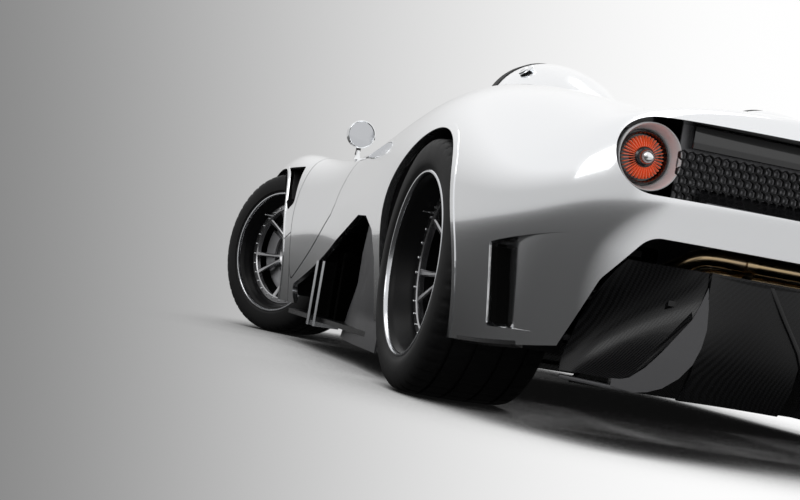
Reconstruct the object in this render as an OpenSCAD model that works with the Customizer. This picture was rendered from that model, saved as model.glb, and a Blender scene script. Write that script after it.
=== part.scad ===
// Open two-seat sports car, on its wheels, +X forward, +Y left, +Z up, origin on the ground at mid-length.

/* [Chassis] */
// Distance between the axles
wheelbase = 2500; // [2400:10:2600]
// Body length behind the rear axle
rear_overhang = 985; // [940:5:1020]
// Body length ahead of the front axle
front_overhang = 920; // [880:5:960]
// Width over the rear haunches
body_w = 1990; // [1960:5:2020]
// Height of the floor above the ground
floor_z = 125; // [120:1:135]

/* [Body] */
// Thickness of the clams
skin_t = 20; // [14:1:24]
// Thickness of a door
door_t = 80; // [60:2:90]
// Gap round a door or a lid
panel_gap = 6; // [5:0.5:8]
// Distance from the widest point of the body to the cockpit opening
deck_w = 385; // [360:5:410]
// Thickness of the walls of the tub
tub_t = 60; // [40:2:70]

/* [Wheels] */
// Outer radius of a rear tyre
rear_tyre_r = 354.5; // [348:0.5:358]
// Outer radius of a front tyre
front_tyre_r = 345; // [340:0.5:348]
// Width of a rear tyre
rear_tyre_w = 335; // [305:5:345]
// Width of a front tyre
front_tyre_w = 256; // [235:1:265]
// Radius of the bead seat of a rim
bead_r = 252; // [240:1:256]
// Distance from the middle to a rear tyre
rear_track_half = 810; // [795:1:815]
// Distance from the middle to a steering pivot
front_track_half = 798; // [785:1:805]
// Angle of the front wheels, to the left
steer = 30.5; // [0:0.5:32]
// Radius of a rear wheel arch
rear_arch_r = 380; // [374:1:390]
// Radius of a front wheel arch
front_arch_r = 362; // [358:1:370]
// Radius of the spindle that carries a wheel
spindle_r = 30; // [26:1:34]
// Clearance round a spindle
spindle_gap = 0.4; // [0.3:0.1:0.6]
// Radius of a brake disc
disc_r = 175; // [150:1:185]

/* [Tail] */
// Distance from the middle to a tail lamp
lamp_y = 710; // [690:1:725]
// Height of the tail lamps
lamp_z = 664; // [655:1:675]
// Outer radius of a tail lamp bezel
bezel_r = 78; // [70:1:84]
// Radius of the red lens
lens_r = 50; // [44:1:54]
// Radius of an exhaust pipe
pipe_r = 16; // [13:1:20]

/* [Fittings] */
// Radius of the towing bore
tow_r = 9; // [8:0.5:12]
// Height of the fairings' hoops
hoop_z = 1102; // [1080:1:1115]
// Sideways place of a seat, fairing and hoop
seat_y = 400; // [380:1:410]
// Radius of a door mirror
mirror_r = 52; // [45:1:60]
// Radius of the steering wheel
wheel_r = 165; // [150:1:175]

/* [Hidden] */
$fn = 48;
rear_axle_x = -(wheelbase + rear_overhang + front_overhang) / 2 + rear_overhang;
half_w = body_w / 2;
cockpit_w = half_w - deck_w;

// Stations of the body, from the tail to the nose. Columns: x at the middle, x at the side, half width,
// height at the middle, then pairs of share of the half width in percent and height: valley, fender root,
// fender rise, crest and shoulder, then the height of the widest point, then pairs for flank and sill.
STATIONS = [
    [-700, -985, 0, 836, 15, 833, 40, 827, 73, 814, 92, 798, 100, 755, 640, 97, 500, 68, 300],
    [-690, -980, 250, 836, 15, 833, 40, 827, 73, 814, 92, 797, 100, 754, 640, 97, 500, 68, 300],
    [-670, -965, 500, 836, 17, 834, 44, 827, 75, 812, 93, 790, 99, 748, 632, 97, 490, 70, 290],
    [-630, -925, 715, 837, 22, 834, 50, 826, 76, 807, 91, 779, 98, 735, 618, 97.5, 470, 78, 260],
    [-560, -845, 860, 840, 26, 836, 54, 817, 73, 794, 86, 764, 95, 702, 600, 98.7, 440, 92, 220],
    [-430, -640, 950, 846, 28, 836, 52, 818, 61, 815, 70, 810, 87, 762, 590, 99, 410, 96, 190],
    [-230, -360, 985, 858, 27, 846, 49, 834, 58, 848, 67, 861, 87, 812, 600, 99, 400, 95, 180],
    [0, 0, 995, 870, 27, 852, 48, 838, 58, 868, 70, 903, 89, 842, 610, 99, 400, 95, 170],
    [300, 300, 990, 880, 27, 858, 48, 842, 60, 866, 73, 900, 90, 832, 600, 98.5, 400, 94.5, 170],
    [600, 600, 972, 885, 27, 866, 50, 842, 66, 846, 80, 853, 92, 785, 575, 98, 390, 94, 165],
    [900, 900, 950, 860, 27, 850, 50, 832, 68, 818, 84, 800, 94, 733, 545, 98.5, 385, 95, 160],
    [1250, 1250, 930, 830, 27, 822, 50, 805, 69, 785, 86, 757, 95, 690, 520, 98.5, 380, 95.5, 155],
    [1600, 1600, 925, 800, 27, 792, 50, 775, 69, 760, 87, 738, 96, 672, 510, 98.5, 375, 95.5, 152],
    [1950, 1950, 935, 745, 27, 738, 50, 722, 69, 730, 87, 752, 96, 682, 520, 99, 375, 96, 150],
    [2250, 2250, 952, 700, 27, 690, 48, 676, 65, 722, 86, 782, 96, 705, 540, 99.5, 375, 96, 150],
    [2550, 2550, 955, 672, 27, 662, 48, 650, 64, 716, 84, 790, 95.5, 710, 545, 99.5, 375, 95, 150],
    [2830, 2860, 930, 630, 27, 620, 48, 608, 63, 668, 82, 748, 94.5, 675, 530, 99, 370, 94, 150],
    [2960, 3080, 870, 592, 27, 580, 48, 567, 64, 612, 80, 680, 93, 620, 500, 99, 360, 93, 160],
    [3060, 3245, 750, 568, 25, 560, 48, 549, 66, 575, 81, 605, 93, 562, 465, 99, 345, 92, 170],
    [3130, 3350, 560, 556, 20, 550, 42, 539, 64, 532, 81, 520, 94, 495, 430, 99, 325, 88, 175],
    [3180, 3405, 300, 545, 14, 538, 30, 526, 56, 502, 78, 478, 93, 448, 400, 98.5, 310, 84, 178],
    [3200, 3420, 0, 541, 12, 534, 28, 522, 54, 498, 77, 472, 93, 442, 395, 98, 305, 82, 178]];
LAST = len(STATIONS) - 1;

// A distance from the rear axle, stretched with the overhangs and the wheelbase
function along(x) = x < 0 ? x * rear_overhang / 985
    : x < 2500 ? x * wheelbase / 2500
    : wheelbase + (x - 2500) * front_overhang / 920;
function pairs(r) = [[-r[4], r[5]], [0, r[3]], [r[4], r[5]], [r[6], r[7]], [r[8], r[9]], [r[10], r[11]],
    [r[12], r[13]], [100, r[14]], [r[15], r[16]], [r[17], r[18]]];
function section(r) = [for (p = pairs(r))
    [along(r[0] + (r[1] - r[0]) * p[0] / 100), r[2] * body_w / 1990 * p[0] / 100, p[1]]];
function with_end(s) = concat(s, [2 * s[9] - s[8]]);
function mirrored(s) = [for (p = s) [p[0], -p[1], p[2]]];
function sharpened(a, b, c) = b - (a - 2 * b + c) / 6;
function across(s) = [for (j = [0:10]) j == 0 || j == 10 ? s[j] : sharpened(s[j - 1], s[j], s[j + 1])];
function closed(s) = [for (j = [0:10]) j == 0 ? [s[2][0], -s[2][1], s[2][2]] : j < 10 ? s[j] : 2 * s[9] - s[8]];
ROWS = [for (r = STATIONS) across(with_end(section(r)))];
INNER = [for (i = [0:LAST]) closed(sharpened(
    i == 0 ? mirrored(ROWS[1]) : ROWS[i - 1], ROWS[i], i == LAST ? mirrored(ROWS[LAST - 1]) : ROWS[i + 1]))];
NET = concat([mirrored(INNER[1])], INNER, [mirrored(INNER[LAST - 1])]);

// Weights of a cubic spline at a share f of its span
function weights(f) = [(1 - f) ^ 3, 3 * f ^ 3 - 6 * f ^ 2 + 4, -3 * f ^ 3 + 3 * f ^ 2 + 3 * f + 1, f ^ 3] / 6;
function patch(i, j, a, b) = a * [for (k = [0:3]) b * [for (m = [0:3]) NET[i + k][j + m]]];
function on_middle(u, v) = v == 0 || u == 0 || u == LAST;
function skin_point(u, v) = let (i = min(floor(u), LAST - 1), j = min(floor(v), 7),
    p = patch(i, j, weights(u - i), weights(v - j))) on_middle(u, v) ? [p[0], 0, p[2]] : p;
function unit(v) = v / norm(v);
// Outward normal, taken a little off the middle line, where the stations meet in a pole
function skin_normal(u, v) = let (e = 0.02, w = max(v, 0.25), ua = max(u - e, 0), ub = min(u + e, LAST),
    va = w - e, vb = min(w + e, 8)) unit(cross(skin_point(ub, w) - skin_point(ua, w),
        skin_point(ua, vb) - skin_point(ua, va) + skin_point(ub, vb) - skin_point(ub, va)));

// Triangles between two rows of n points that start at a and b
function strip(a, b, n) = [for (k = [0:n - 2]) each [[b + k, a + k, a + k + 1], [b + k, a + k + 1, b + k + 1]]];
function flipped(faces) = [for (f = faces) [f[2], f[1], f[0]]];

// Half of the body's shell. inward is a thickness along the normal, or a vector to the inner face.
// lift moves the outer face along the normal, and rising says that the vector leads outwards
module half_skin(us, vs, inward, lift = 0, rising = false) {
    m = len(us);
    n = len(vs);
    normals = [for (u = us) for (v = vs) let (k = skin_normal(u, v)) on_middle(u, v) ? [k[0], 0, k[2]] : k];
    faces = [for (u = us) for (v = vs) skin_point(u, v)];
    outer = [for (k = [0:len(faces) - 1]) faces[k] + lift * normals[k]];
    inner = [for (k = [0:len(faces) - 1]) outer[k] - (is_list(inward) ? inward : inward * normals[k])];
    t = m * n;
    sheet = [for (i = [0:m - 2]) each strip(i * n, (i + 1) * n, n)];
    ring = concat([for (k = [0:n - 1]) k], [for (i = [1:m - 1]) i * n + n - 1],
        [for (k = [n - 2:-1:0]) (m - 1) * n + k], [for (i = [m - 2:-1:1]) i * n]);
    q = len(ring);
    walls = [for (k = [0:q - 1]) let (a = ring[k], b = ring[(k + 1) % q])
        each [[b, a, t + a], [b, t + a, t + b]]];
    under = [for (f = flipped(sheet)) [f[0] + t, f[1] + t, f[2] + t]];
    all_faces = concat(sheet, under, walls);
    polyhedron(concat(outer, inner), rising ? flipped(all_faces) : all_faces);
}
module skin(inward) {
    us = [for (i = [0:2 * LAST]) i / 2];
    vs = [for (j = [0:16]) j / 2];
    half_skin(us, vs, inward);
    mirror([0, 1, 0]) half_skin(us, vs, inward);
}

function steps(a, b) = [for (i = [0:round(2 * (b - a))]) a + i / 2];
// All that lies above the shell's inner face, and all that lies below its outer face
module above_skin(u0, u1, v1) {
    both_sides() half_skin(steps(u0, u1), steps(0, v1), [0, 0, -500], -skin_t - seat_gap, true);
}
module below_skin(u0, u1, v1) {
    both_sides() half_skin(steps(u0, u1), steps(0, v1), [0, 0, 400], seat_gap);
}
// The room inside the shell's side wall
module inside_wall(u0, u1) {
    half_skin(steps(u0, u1), steps(3, 8), [0, 400, 0], -skin_t - seat_gap);
}

// Frames and helpers
module from_rear() {
    translate([rear_axle_x, 0, 0]) children();
}
module both_sides() {
    children();
    mirror([0, 1, 0]) children();
}
module along_y(x, z, r, y0, y1) {
    translate([x, y0, z]) rotate([-90, 0, 0]) cylinder(r = r, h = y1 - y0);
}
// A plate whose outline has rounded corners at points of x and z
module side_prism(points, r, y0, y1) {
    translate([0, y1, 0]) rotate([90, 0, 0]) linear_extrude(y1 - y0)
        hull() for (p = points) translate(p) circle(r, $fn = 24);
}
// A plate whose outline has rounded corners at points of y and z
module tail_prism(points, r, x0, x1) {
    translate([x0, 0, 0]) rotate([90, 0, 90]) linear_extrude(x1 - x0)
        hull() for (p = points) translate(p) circle(r, $fn = 32);
}
// A plate whose outline has rounded corners at points of x and y
module plan_prism(points, r, z0, z1) {
    translate([0, 0, z0]) linear_extrude(z1 - z0) hull() for (p = points) translate(p) circle(r, $fn = 32);
}

// Outlines in x and z, from the rear axle
door_front = 1980;
door_rear = 1277;
DOOR = [[along(door_rear), 800], [along(1345), 550], [along(1374), 522], [along(1965), 274],
    [along(door_front), 305], [along(door_front), 800]];
INTAKE = [[along(1800), 60], [along(1905), 200], [along(1186), 383], [along(790), 462], [along(645), 458],
    [along(545), 420], [along(512), 350], [along(530), 60]];
VENT = [[along(2370), 690], [along(2110), 540], [along(2060), 560], [along(2120), 690]];
CORNER = [[along(-606), 415], [along(-598), 240], [along(-737), 246], [along(-835), 455]];
corner_r = 24;
split_x = along(door_front) + corner_r + panel_gap;
cowl_x = along(1800);
cockpit_back = along(800);
rail_y = half_w - 273;
seat_gap = 0.3;
// The hinge stands at the front edge of the door, just outside its skin
hinge = [along(door_front) + corner_r, 942];
door_reach = hinge[0] - along(door_rear) + corner_r;
lid_back = along(2330);
lid_front = along(3060);
lid_w = 360;
cover_front = along(90);
cover_back = along(-700);
cover_w = 350;

// The door's rear edge is an arc about its hinge, so that it swings clear
module door_outline(inset, y0, y1) {
    intersection() {
        side_prism(DOOR, corner_r - inset, y0, y1);
        translate(hinge) cylinder(r = door_reach - inset, h = 1300, $fn = 144);
    }
}
module lid_outline(grow, z0, z1) {
    plan_prism([for (x = [lid_back + 30, lid_front - 30]) for (y = [-1, 1]) [x, y * (lid_w - 30)]],
        30 + grow, z0, z1);
}
module cover_outline(grow, z0, z1) {
    plan_prism([for (x = [cover_back + 40, cover_front - 40]) for (y = [-1, 1]) [x, y * (cover_w - 40)]],
        40 + grow, z0, z1);
}
// The slot across the tail that holds the lamps and the grille
recess_wall = 10;
recess_end = 800;
slot_r = bezel_r + 10;
module lamp_slot(grow, x0, x1) {
    tail_prism([[-lamp_y, lamp_z], [lamp_y, lamp_z]], slot_r + grow, x0, x1);
}
module front_arch(r, y0, y1) {
    hull() for (dx = [-22, 22]) along_y(wheelbase + dx, front_tyre_r, r, y0, y1);
}
module mouth(grow) {
    tail_prism([for (y = [-1, 1]) for (z = [225, 330]) [y * 500, z]], 45 + grow, along(2900), along(3500));
}
module lamp_socket(grow) {
    translate([along(2940), 620, 560]) rotate([0, 78, 12]) cylinder(r = 88 + grow, h = 400, center = true);
}

module front_clam() color("gainsboro") from_rear() {
    difference() {
        intersection() {
            skin(skin_t);
            union() {
                translate([split_x, -1100, 0]) cube([2000, 2200, 1200]);
                translate([cowl_x, -rail_y + 2, 560]) cube([400, 2 * rail_y - 4, 600]);
            }
        }
        both_sides() front_arch(front_arch_r, 790, 1200);
        both_sides() side_prism(VENT, 18, 800, 1200);
        both_sides() lamp_socket(0);
        mouth(0);
        lid_outline(panel_gap, 300, 1200);
        both_sides() door_outline(-panel_gap, rail_y, 1200);
    }
    intersection() {
        translate([0, 0, 6 - skin_t]) skin(10);
        difference() {
            lid_outline(22, 300, 1200);
            lid_outline(panel_gap, 299, 1201);
        }
    }
    intersection() {
        translate([0, 0, -skin_t - 1.2]) skin(8);
        difference() {
            lid_outline(22, 300, 1200);
            lid_outline(-14, 299, 1201);
        }
    }
}

TAIL_OPENING = [[670, 430], [726, 352], [768, 205], [768, 60]];
module rear_clam() color("gainsboro") from_rear() {
    difference() {
        intersection() {
            skin(skin_t);
            translate([-1200, -1100, 0]) cube([split_x - panel_gap + 1200, 2200, 1200]);
        }
        translate([cowl_x - panel_gap, -rail_y - 4, 560]) cube([600, 2 * rail_y + 8, 600]);
        both_sides() along_y(0, rear_tyre_r, rear_arch_r, 800, 1200);
        both_sides() side_prism(INTAKE, 30, 700, 1200);
        both_sides() side_prism(CORNER, 12, 740, 1200);
        both_sides() door_outline(-panel_gap, rail_y, 1200);
        plan_prism([[cockpit_back + 150, 460], [cockpit_back + 150, -460], [cowl_x + 200, -460],
            [cowl_x + 200, 460]], cockpit_w - 460, 400, 1200);
        lamp_slot(0, along(-1300), along(-700));
        tail_prism([for (s = [-1, 1]) for (p = TAIL_OPENING) [s * p[0], p[1]]], 55, along(-1300), along(-540));
        cover_outline(panel_gap, 500, 1200);
    }
    intersection() {
        difference() {
            lamp_slot(recess_wall, along(-1100), along(-recess_end));
            lamp_slot(0, along(-1101), along(1 - recess_end));
        }
        both_sides() half_skin(steps(0, 6), steps(3, 8), [-300, 0, 0]);
    }
    intersection() {
        translate([0, 0, 6 - skin_t]) skin(10);
        difference() {
            cover_outline(22, 500, 1200);
            cover_outline(panel_gap, 499, 1201);
        }
    }
    intersection() {
        translate([0, 0, -skin_t - seat_gap]) skin(8);
        difference() {
            cover_outline(22, 500, 1200);
            cover_outline(-14, 499, 1201);
        }
    }
}

// Hinge plate inside the door's front, whose inner face lies at plate_y
plate_y = half_w - 195;
plate_x = along(1900);
plate_z = 470;
module door_left() color("gainsboro") from_rear() {
    intersection() {
        half_skin([for (i = [0:8]) 10 + i / 2], [for (j = [0:12]) 2 + j / 2], [0, skin_t, 12]);
        door_outline(0, rail_y + 6, 1200);
    }
    intersection() {
        half_skin([for (i = [0:8]) 10 + i / 2], [for (j = [0:12]) 2 + j / 2], [0, door_t, 40]);
        door_outline(20, rail_y + 14, 1200);
    }
    translate([plate_x, plate_y, plate_z]) cube([60, 60, 70]);
}
module door_right() mirror([0, 1, 0]) door_left();

module front_lid() color("gainsboro") from_rear() intersection() {
    skin(skin_t);
    lid_outline(0, 300, 1200);
}
module engine_cover() color("gainsboro") from_rear() intersection() {
    skin(skin_t);
    cover_outline(0, 500, 1200);
}

// Carbon tub: floor, side boxes, bulkheads, rails, towers and the posts of the doors
tub_w = half_w - 340;
tub_front = along(2080);
tub_back = along(640);
dash_x = along(1960);
rail_x = along(3050);
rail_w = 80;
rail_h = 110;
rail_z = 200;
rail_side = 330;
tail_x = along(-560);
module tower(x, z, half) {
    translate([x - half, rail_side, rail_z]) cube([2 * half, rail_w / 2, z + arm_z + 20 - rail_z]);
}
module tub() color("dimgray") from_rear() difference() {
    union() {
        translate([tub_back, -tub_w, floor_z]) cube([tub_front - tub_back, 2 * tub_w, 440]);
        translate([tub_back, -tub_w + 150, floor_z]) cube([tub_t, 2 * tub_w - 300, 800]);
        translate([dash_x, -tub_w + 150, floor_z]) cube([tub_front - dash_x, 2 * tub_w - 300, 650]);
        both_sides() {
            translate([tub_front - 1, rail_side - rail_w / 2, rail_z]) cube([rail_x - tub_front + 1, rail_w, rail_h]);
            translate([tail_x, rail_side - rail_w / 2, rail_z]) cube([tub_back - tail_x + 1, rail_w, rail_h]);
            translate([plate_x, tub_w - 1, plate_z]) cube([60, plate_y - seat_gap - tub_w + 1, 70]);
            tower(0, rear_tyre_r, 170);
            tower(wheelbase, front_tyre_r, 140);
        }
    }
    above_skin(8, 10, 7);
    above_skin(12, 15, 7);
    both_sides() along_y(0, rear_tyre_r, 40, 200, 600);
    translate([tub_back + tub_t, tub_t - tub_w, floor_z + 45])
        cube([dash_x - tub_back - tub_t, 2 * (tub_w - tub_t), 1000]);
    both_sides() translate([rail_x + 10, rail_side, rail_z + rail_h / 2]) rotate([0, -90, 0])
        cylinder(r = tow_r, h = 60);
}

module intake_ducts() color("darkslategray") from_rear() both_sides() intersection() {
    union() {
        translate([0, 0, floor_z]) linear_extrude(400) translate([0, tub_w]) polygon([[along(1780), 190], [along(1700), 125],
            [along(1500), 60], [along(1200), 35], [along(560), 35], [along(560), seat_gap],
            [along(1200), seat_gap], [along(1510), 47], [along(1712), 113], [along(1790), 180]]);
        for (x = [1560, 1450]) translate([along(x), tub_w + 45, floor_z]) rotate([0, 0, 24]) cube([12, 150, 400]);
        translate([0, 0, floor_z]) linear_extrude(400) translate([0, tub_w]) polygon([[along(760), 20],
            [along(640), 40], [along(550), 90], [along(500), 146], [along(492), 140], [along(540), 80],
            [along(635), 26], [along(760), 5]]);
    }
    side_prism(INTAKE, 42, 600, 1200);
}

module undertray() color("dimgray") from_rear() {
    plan_prism([[along(480), 850], [along(480), -850], [along(2010), -850], [along(2010), 850]],
        40, floor_z - 18, floor_z - seat_gap);
    for (x = [700, 1800]) for (y = [-560, 560]) translate([along(x), y, floor_z - 28]) cylinder(r = 40, h = 11);
}

// Linings of the arches, which end against the clams
module wheel_liners() color("black") from_rear() both_sides() {
    intersection() {
        difference() {
            along_y(0, rear_tyre_r, rear_arch_r + 8, 640, 1000);
            along_y(0, rear_tyre_r, rear_arch_r + 2, 639, 1001);
            translate([-600, 630, -400]) cube([1200, 380, 580]);
        }
        inside_wall(5, 9);
    }
    intersection() {
        difference() {
            front_arch(front_arch_r + 7, 705, 1000);
            front_arch(front_arch_r + 2, 704, 1001);
            translate([wheelbase - 600, 700, -400]) cube([1200, 310, 580]);
        }
        inside_wall(13, 17);
    }
}

// Floor that rises to the tail, with the panel above it. Profiles are in x and z
RAMP = [[-400, 118], [-560, 187.6], [-760, 262], [-900, 345]];
BACK = [[-940, 432], [-936, 300], [-872, 130], [-860, 130], [-922, 300], [-926, 436]];
LIP = [[-900, 345], [-940, 432], [-926, 436], [-886, 351]];
// Edges of the cheek: beside the body's cut edge, and on the outer fin
CHEEK = [[[-886, 727, 428], [-850, 771, 340], [-808, 795, 250], [-794, 806, 160]],
    [[-928, 552, 428], [-928, 562, 340], [-928, 622, 250], [-928, 706, 158]]];
// Sections of the outer and the inner fin, in y and z
OUTER_FIN = [[549, 396], [537, 304], [558, 222], [621, 161], [689, 142], [742, 149], [742, 166], [702, 173],
    [635, 239], [576, 320]];
INNER_FIN = [[391, 422], [346, 357], [295, 285], [262, 200], [250, 140], [262, 140], [274, 200], [307, 285],
    [358, 357], [401, 422]];
module xz_plate(points, y0, y1) {
    translate([0, y1, 0]) rotate([90, 0, 0]) linear_extrude(y1 - y0) polygon([for (p = points) [along(p[0]), p[1]]]);
}
module yz_plate(points, x0, x1) {
    translate([along(x0), 0, 0]) rotate([90, 0, 90]) linear_extrude(along(x1) - along(x0)) polygon(points);
}
module diffuser() color("dimgray") from_rear() {
    xz_plate(concat(RAMP, [for (k = [3:-1:0]) [RAMP[k][0], RAMP[k][1] + 12]]), -620, 620);
    xz_plate(LIP, -670, 670);
    both_sides() {
        xz_plate(BACK, 290, 548);
        yz_plate(OUTER_FIN, -938, -850);
        yz_plate(INNER_FIN, -938, -850);
        for (k = [0:2]) hull() for (edge = CHEEK) for (p = [edge[k], edge[k + 1]])
            translate([along(p[0]), p[1], p[2]]) sphere(r = 4, $fn = 8);
        yz_plate([[537, 340], [558, 222], [621, 161], [629, 169], [570, 226], [551, 340]], -851, -560);
        yz_plate([[295, 300], [262, 200], [250, 140], [262, 140], [274, 200], [307, 300]], -851, -560);
    }
}

// Plate of hexagonal holes between the lamps
hex_pitch = 27;
module rear_grille() color("black") from_rear() difference() {
    translate([along(-888), -lamp_y + bezel_r + 2, lamp_z - slot_r + seat_gap])
        cube([12, 2 * (lamp_y - bezel_r - 2), 2 * (slot_r - seat_gap)]);
    for (k = [-22:22]) for (j = [-1:1]) translate([along(-910), (k + (j % 2 == 0 ? 0 : 0.5)) * hex_pitch,
        lamp_z + j * 24]) rotate([0, 90, 0]) cylinder(r = 13.5, h = 60, $fn = 6);
}
grille_half = rail_side - rail_w / 2 - seat_gap;
module front_grille() color("black") from_rear() difference() {
    tail_prism([for (y = [-1, 1]) for (z = [225, 330]) [y * (grille_half - 40), z]], 40, rail_x - 12, rail_x);
    for (z = [215:30:345]) translate([rail_x - 20, 30 - grille_half, z]) cube([40, 2 * grille_half - 60, 16]);
}

// A ring about a tail lamp's axis, from x0 to x1
module tail_ring(r_out, r_in, x0, x1) {
    both_sides() difference() {
        translate([x0, lamp_y, lamp_z]) rotate([0, 90, 0]) cylinder(r = r_out, h = x1 - x0);
        translate([x0 - 1, lamp_y, lamp_z]) rotate([0, 90, 0]) cylinder(r = r_in, h = x1 - x0 + 2);
    }
}
module taillight_bezels() color("silver") from_rear() {
    tail_ring(bezel_r, lens_r + 8, along(-885), along(-recess_end) + 10);
    both_sides() translate([along(-recess_end) + seat_gap, lamp_y - 130, lamp_z - slot_r - recess_wall])
        cube([10, 120, 2 * slot_r]);
}
module taillight_lenses() color("red") from_rear()
    tail_ring(lens_r + 8 - seat_gap, 14, along(-860), along(-recess_end));
module headlights() color("white") from_rear() both_sides() {
    translate([along(2940), 620, 560]) rotate([0, 78, 12]) cylinder(r = 88 - seat_gap, h = 60);
}

module windscreen() color("gray") from_rear() difference() {
    for (s = [-1, 1]) hull() for (p = [[75, 600, 700], [75, 0, 700], [-120, 590, 850], [-100, 0, 872]])
        translate([cowl_x + p[0], s * p[1], p[2]]) cylinder(r = 4, h = 10, $fn = 16);
    below_skin(12, 14, 6);
}

// A teardrop behind each head, from the hoop to the deck. Columns: x, radius, depth of its centre below hoop_z
hoop_r = 200;
TEARDROP = [[790, 196, 200], [700, 196, 204], [560, 172, 208], [420, 138, 216], [280, 92, 226], [170, 46, 230]];
module fairings() color("gainsboro") from_rear() both_sides() difference() {
    for (k = [0:len(TEARDROP) - 2]) hull() for (t = [TEARDROP[k], TEARDROP[k + 1]])
        translate([along(t[0]), seat_y, hoop_z - t[2]]) rotate([0, 90, 0]) cylinder(r = t[1], h = 1, $fn = 40);
    half_skin(steps(5, 10), steps(0, 8), [0, 0, 400], seat_gap);
}
module roll_hoops() color("dimgray") from_rear() for (s = [-1, 1])
    translate([along(790) + 1 + seat_gap, s * seat_y, hoop_z - hoop_r]) rotate([0, 90, 0]) difference() {
        cylinder(r = hoop_r, h = 24);
        translate([0, 0, -1]) cylinder(r = hoop_r - 28, h = 26);
        translate([-20, -300, -1]) cube([400, 600, 60]);
    }

seat_half = tub_w - tub_t - seat_y - 45;
module seat(side) {
    translate([0, side * seat_y, 0]) {
        for (b = [-1, 1]) hull() for (p = [[1060, 320], [1420, 340], [1420, 215], [1060, 215]])
            translate([along(p[0]), b * seat_half, p[1]]) sphere(r = 34, $fn = 16);
        translate([along(1040), -seat_half, floor_z + 45 + seat_gap]) cube([420, 2 * seat_half, 80]);
        for (b = [-1, 1]) hull() for (p = [[1010, 260], [890, 700]])
            translate([along(p[0]) + 40, b * seat_half, p[1]]) sphere(r = 34, $fn = 16);
        hull() for (y = [20 - seat_half, seat_half - 20]) for (p = [[1000, 230], [870, 830]])
            translate([along(p[0]), y, p[1]]) sphere(r = 34, $fn = 16);
    }
}
module seat_left() color("dimgray") from_rear() seat(1);
module seat_right() color("dimgray") from_rear() seat(-1);

column_tilt = 112;
module at_column() {
    from_rear() translate([along(1480), seat_y, 640]) rotate([0, column_tilt, 0]) children();
}
module dashboard() color("dimgray") difference() {
    from_rear() {
        rotate([90, 0, 0]) linear_extrude(1160, center = true) polygon([[along(1680), 705], [along(1780), 705],
            [dash_x - seat_gap, 670], [dash_x - seat_gap, 560], [along(1740), 560], [along(1660), 620],
            [along(1650), 680]]);
        translate([along(1450), -60, floor_z + 45 + seat_gap]) cube([300, 120, 220]);
    }
    at_column() cylinder(r = 24 + seat_gap, h = 600);
}
module steering_column() color("dimgray") at_column() translate([0, 0, 30])
    cylinder(r = 24, h = (dash_x - seat_gap - along(1480) - 24 * abs(cos(column_tilt))) / sin(column_tilt) - 30);
module steering_wheel() color("black") at_column() {
    rotate_extrude() translate([wheel_r, 0]) circle(14);
    for (a = [90, 210, 330]) rotate([0, 0, a]) translate([0, -14, -5]) cube([wheel_r, 28, 10]);
    cylinder(r = 40, h = 30 - seat_gap);
}

// Plain block of the engine, between the rails, with its gearbox
gearbox_w = 150;
module engine() color("gray") from_rear() {
    w = rail_side - rail_w / 2 - seat_gap;
    translate([along(90), -w, 200]) cube([tub_back - along(90) - 50, 2 * w, 560]);
    translate([along(-260), -gearbox_w, 230]) cube([along(90) - along(-260) + 1, 2 * gearbox_w, 250]);
}

// Silencer across the rails, and pipes that run back, bend inwards and meet behind it
silencer_r = 90;
silencer_z = rail_z + rail_h + silencer_r + seat_gap;
pipe_z = silencer_z + 66;
pipe_x = along(-832);
elbow_y = 528;
module exhaust() color("darkgoldenrod") from_rear() {
    translate([along(-480), -360, silencer_z]) rotate([-90, 0, 0]) cylinder(r = silencer_r, h = 720);
    translate([pipe_x, -elbow_y, pipe_z]) rotate([-90, 0, 0]) cylinder(r = pipe_r, h = 2 * elbow_y);
    translate([along(-490), -elbow_y, pipe_z]) rotate([-90, 0, 0]) cylinder(r = pipe_r, h = 2 * elbow_y);
    both_sides() {
        translate([pipe_x - pipe_r - 3, elbow_y, pipe_z]) rotate([0, 90, 0])
            cylinder(r = pipe_r + 2, h = along(-490) - pipe_x + 2 * pipe_r + 6);
        translate([pipe_x, 400, pipe_z]) rotate([-90, 0, 0]) cylinder(r = pipe_r + 14, h = 10);
    }
}

// Wheels, with the outboard side towards +Y
module tyre(r_out, width) {
    w = width / 2;
    rotate([-90, 0, 0]) rotate_extrude($fn = 96) polygon([[bead_r, 8 - w], [bead_r + 14, 2 - w],
        [bead_r + 45, -w], [r_out - 22, 6 - w], [r_out - 5, 22 - w], [r_out, 44 - w], [r_out, w - 44],
        [r_out - 5, w - 22], [r_out - 22, w - 6], [bead_r + 45, w], [bead_r + 14, w - 2], [bead_r, w - 8]]);
}
module rim(width, dish) {
    w = width / 2;
    face = w - dish;
    rotate([-90, 0, 0]) difference() {
        union() {
            rotate_extrude($fn = 96) polygon([[bead_r, 12 - w], [bead_r, w - 8], [bead_r + 14, w - 2],
                [bead_r + 19, w - 1], [bead_r + 17, w + 2], [bead_r - 6, w - 12], [215, face + 6],
                [200, face + 6], [200, face - 12], [225, face - 12], [bead_r - 8, w - 60],
                [bead_r - 8, 12 - w]]);
            for (k = [0:4]) for (s = [-1, 1]) rotate([0, 0, 90 + k * 72 + s * 13]) translate([60, -9, face - 16])
                cube([148, 18, 20]);
            cylinder(r = 46, h = face - 15);
            translate([0, 0, face - 26]) cylinder(r = 76, h = 20);
            translate([0, 0, 10]) cylinder(r = disc_r, h = 24);
        }
        translate([0, 0, -1]) cylinder(r = spindle_r + spindle_gap, h = 50);
    }
}
module at_front(side) {
    from_rear() translate([wheelbase, side * front_track_half, front_tyre_r]) rotate([0, 0, steer]) children();
}
module at_rear(side) {
    from_rear() translate([0, side * rear_track_half, rear_tyre_r]) children();
}
module outboard(side) {
    mirror([0, side < 0 ? 1 : 0, 0]) children();
}
arm_z = 130;
ball_r = 12;
ball_in = 25;
arm_root = rail_side + rail_w / 2 + seat_gap;
module knuckle(side) {
    at_front(side) outboard(side) upright();
}
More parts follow.
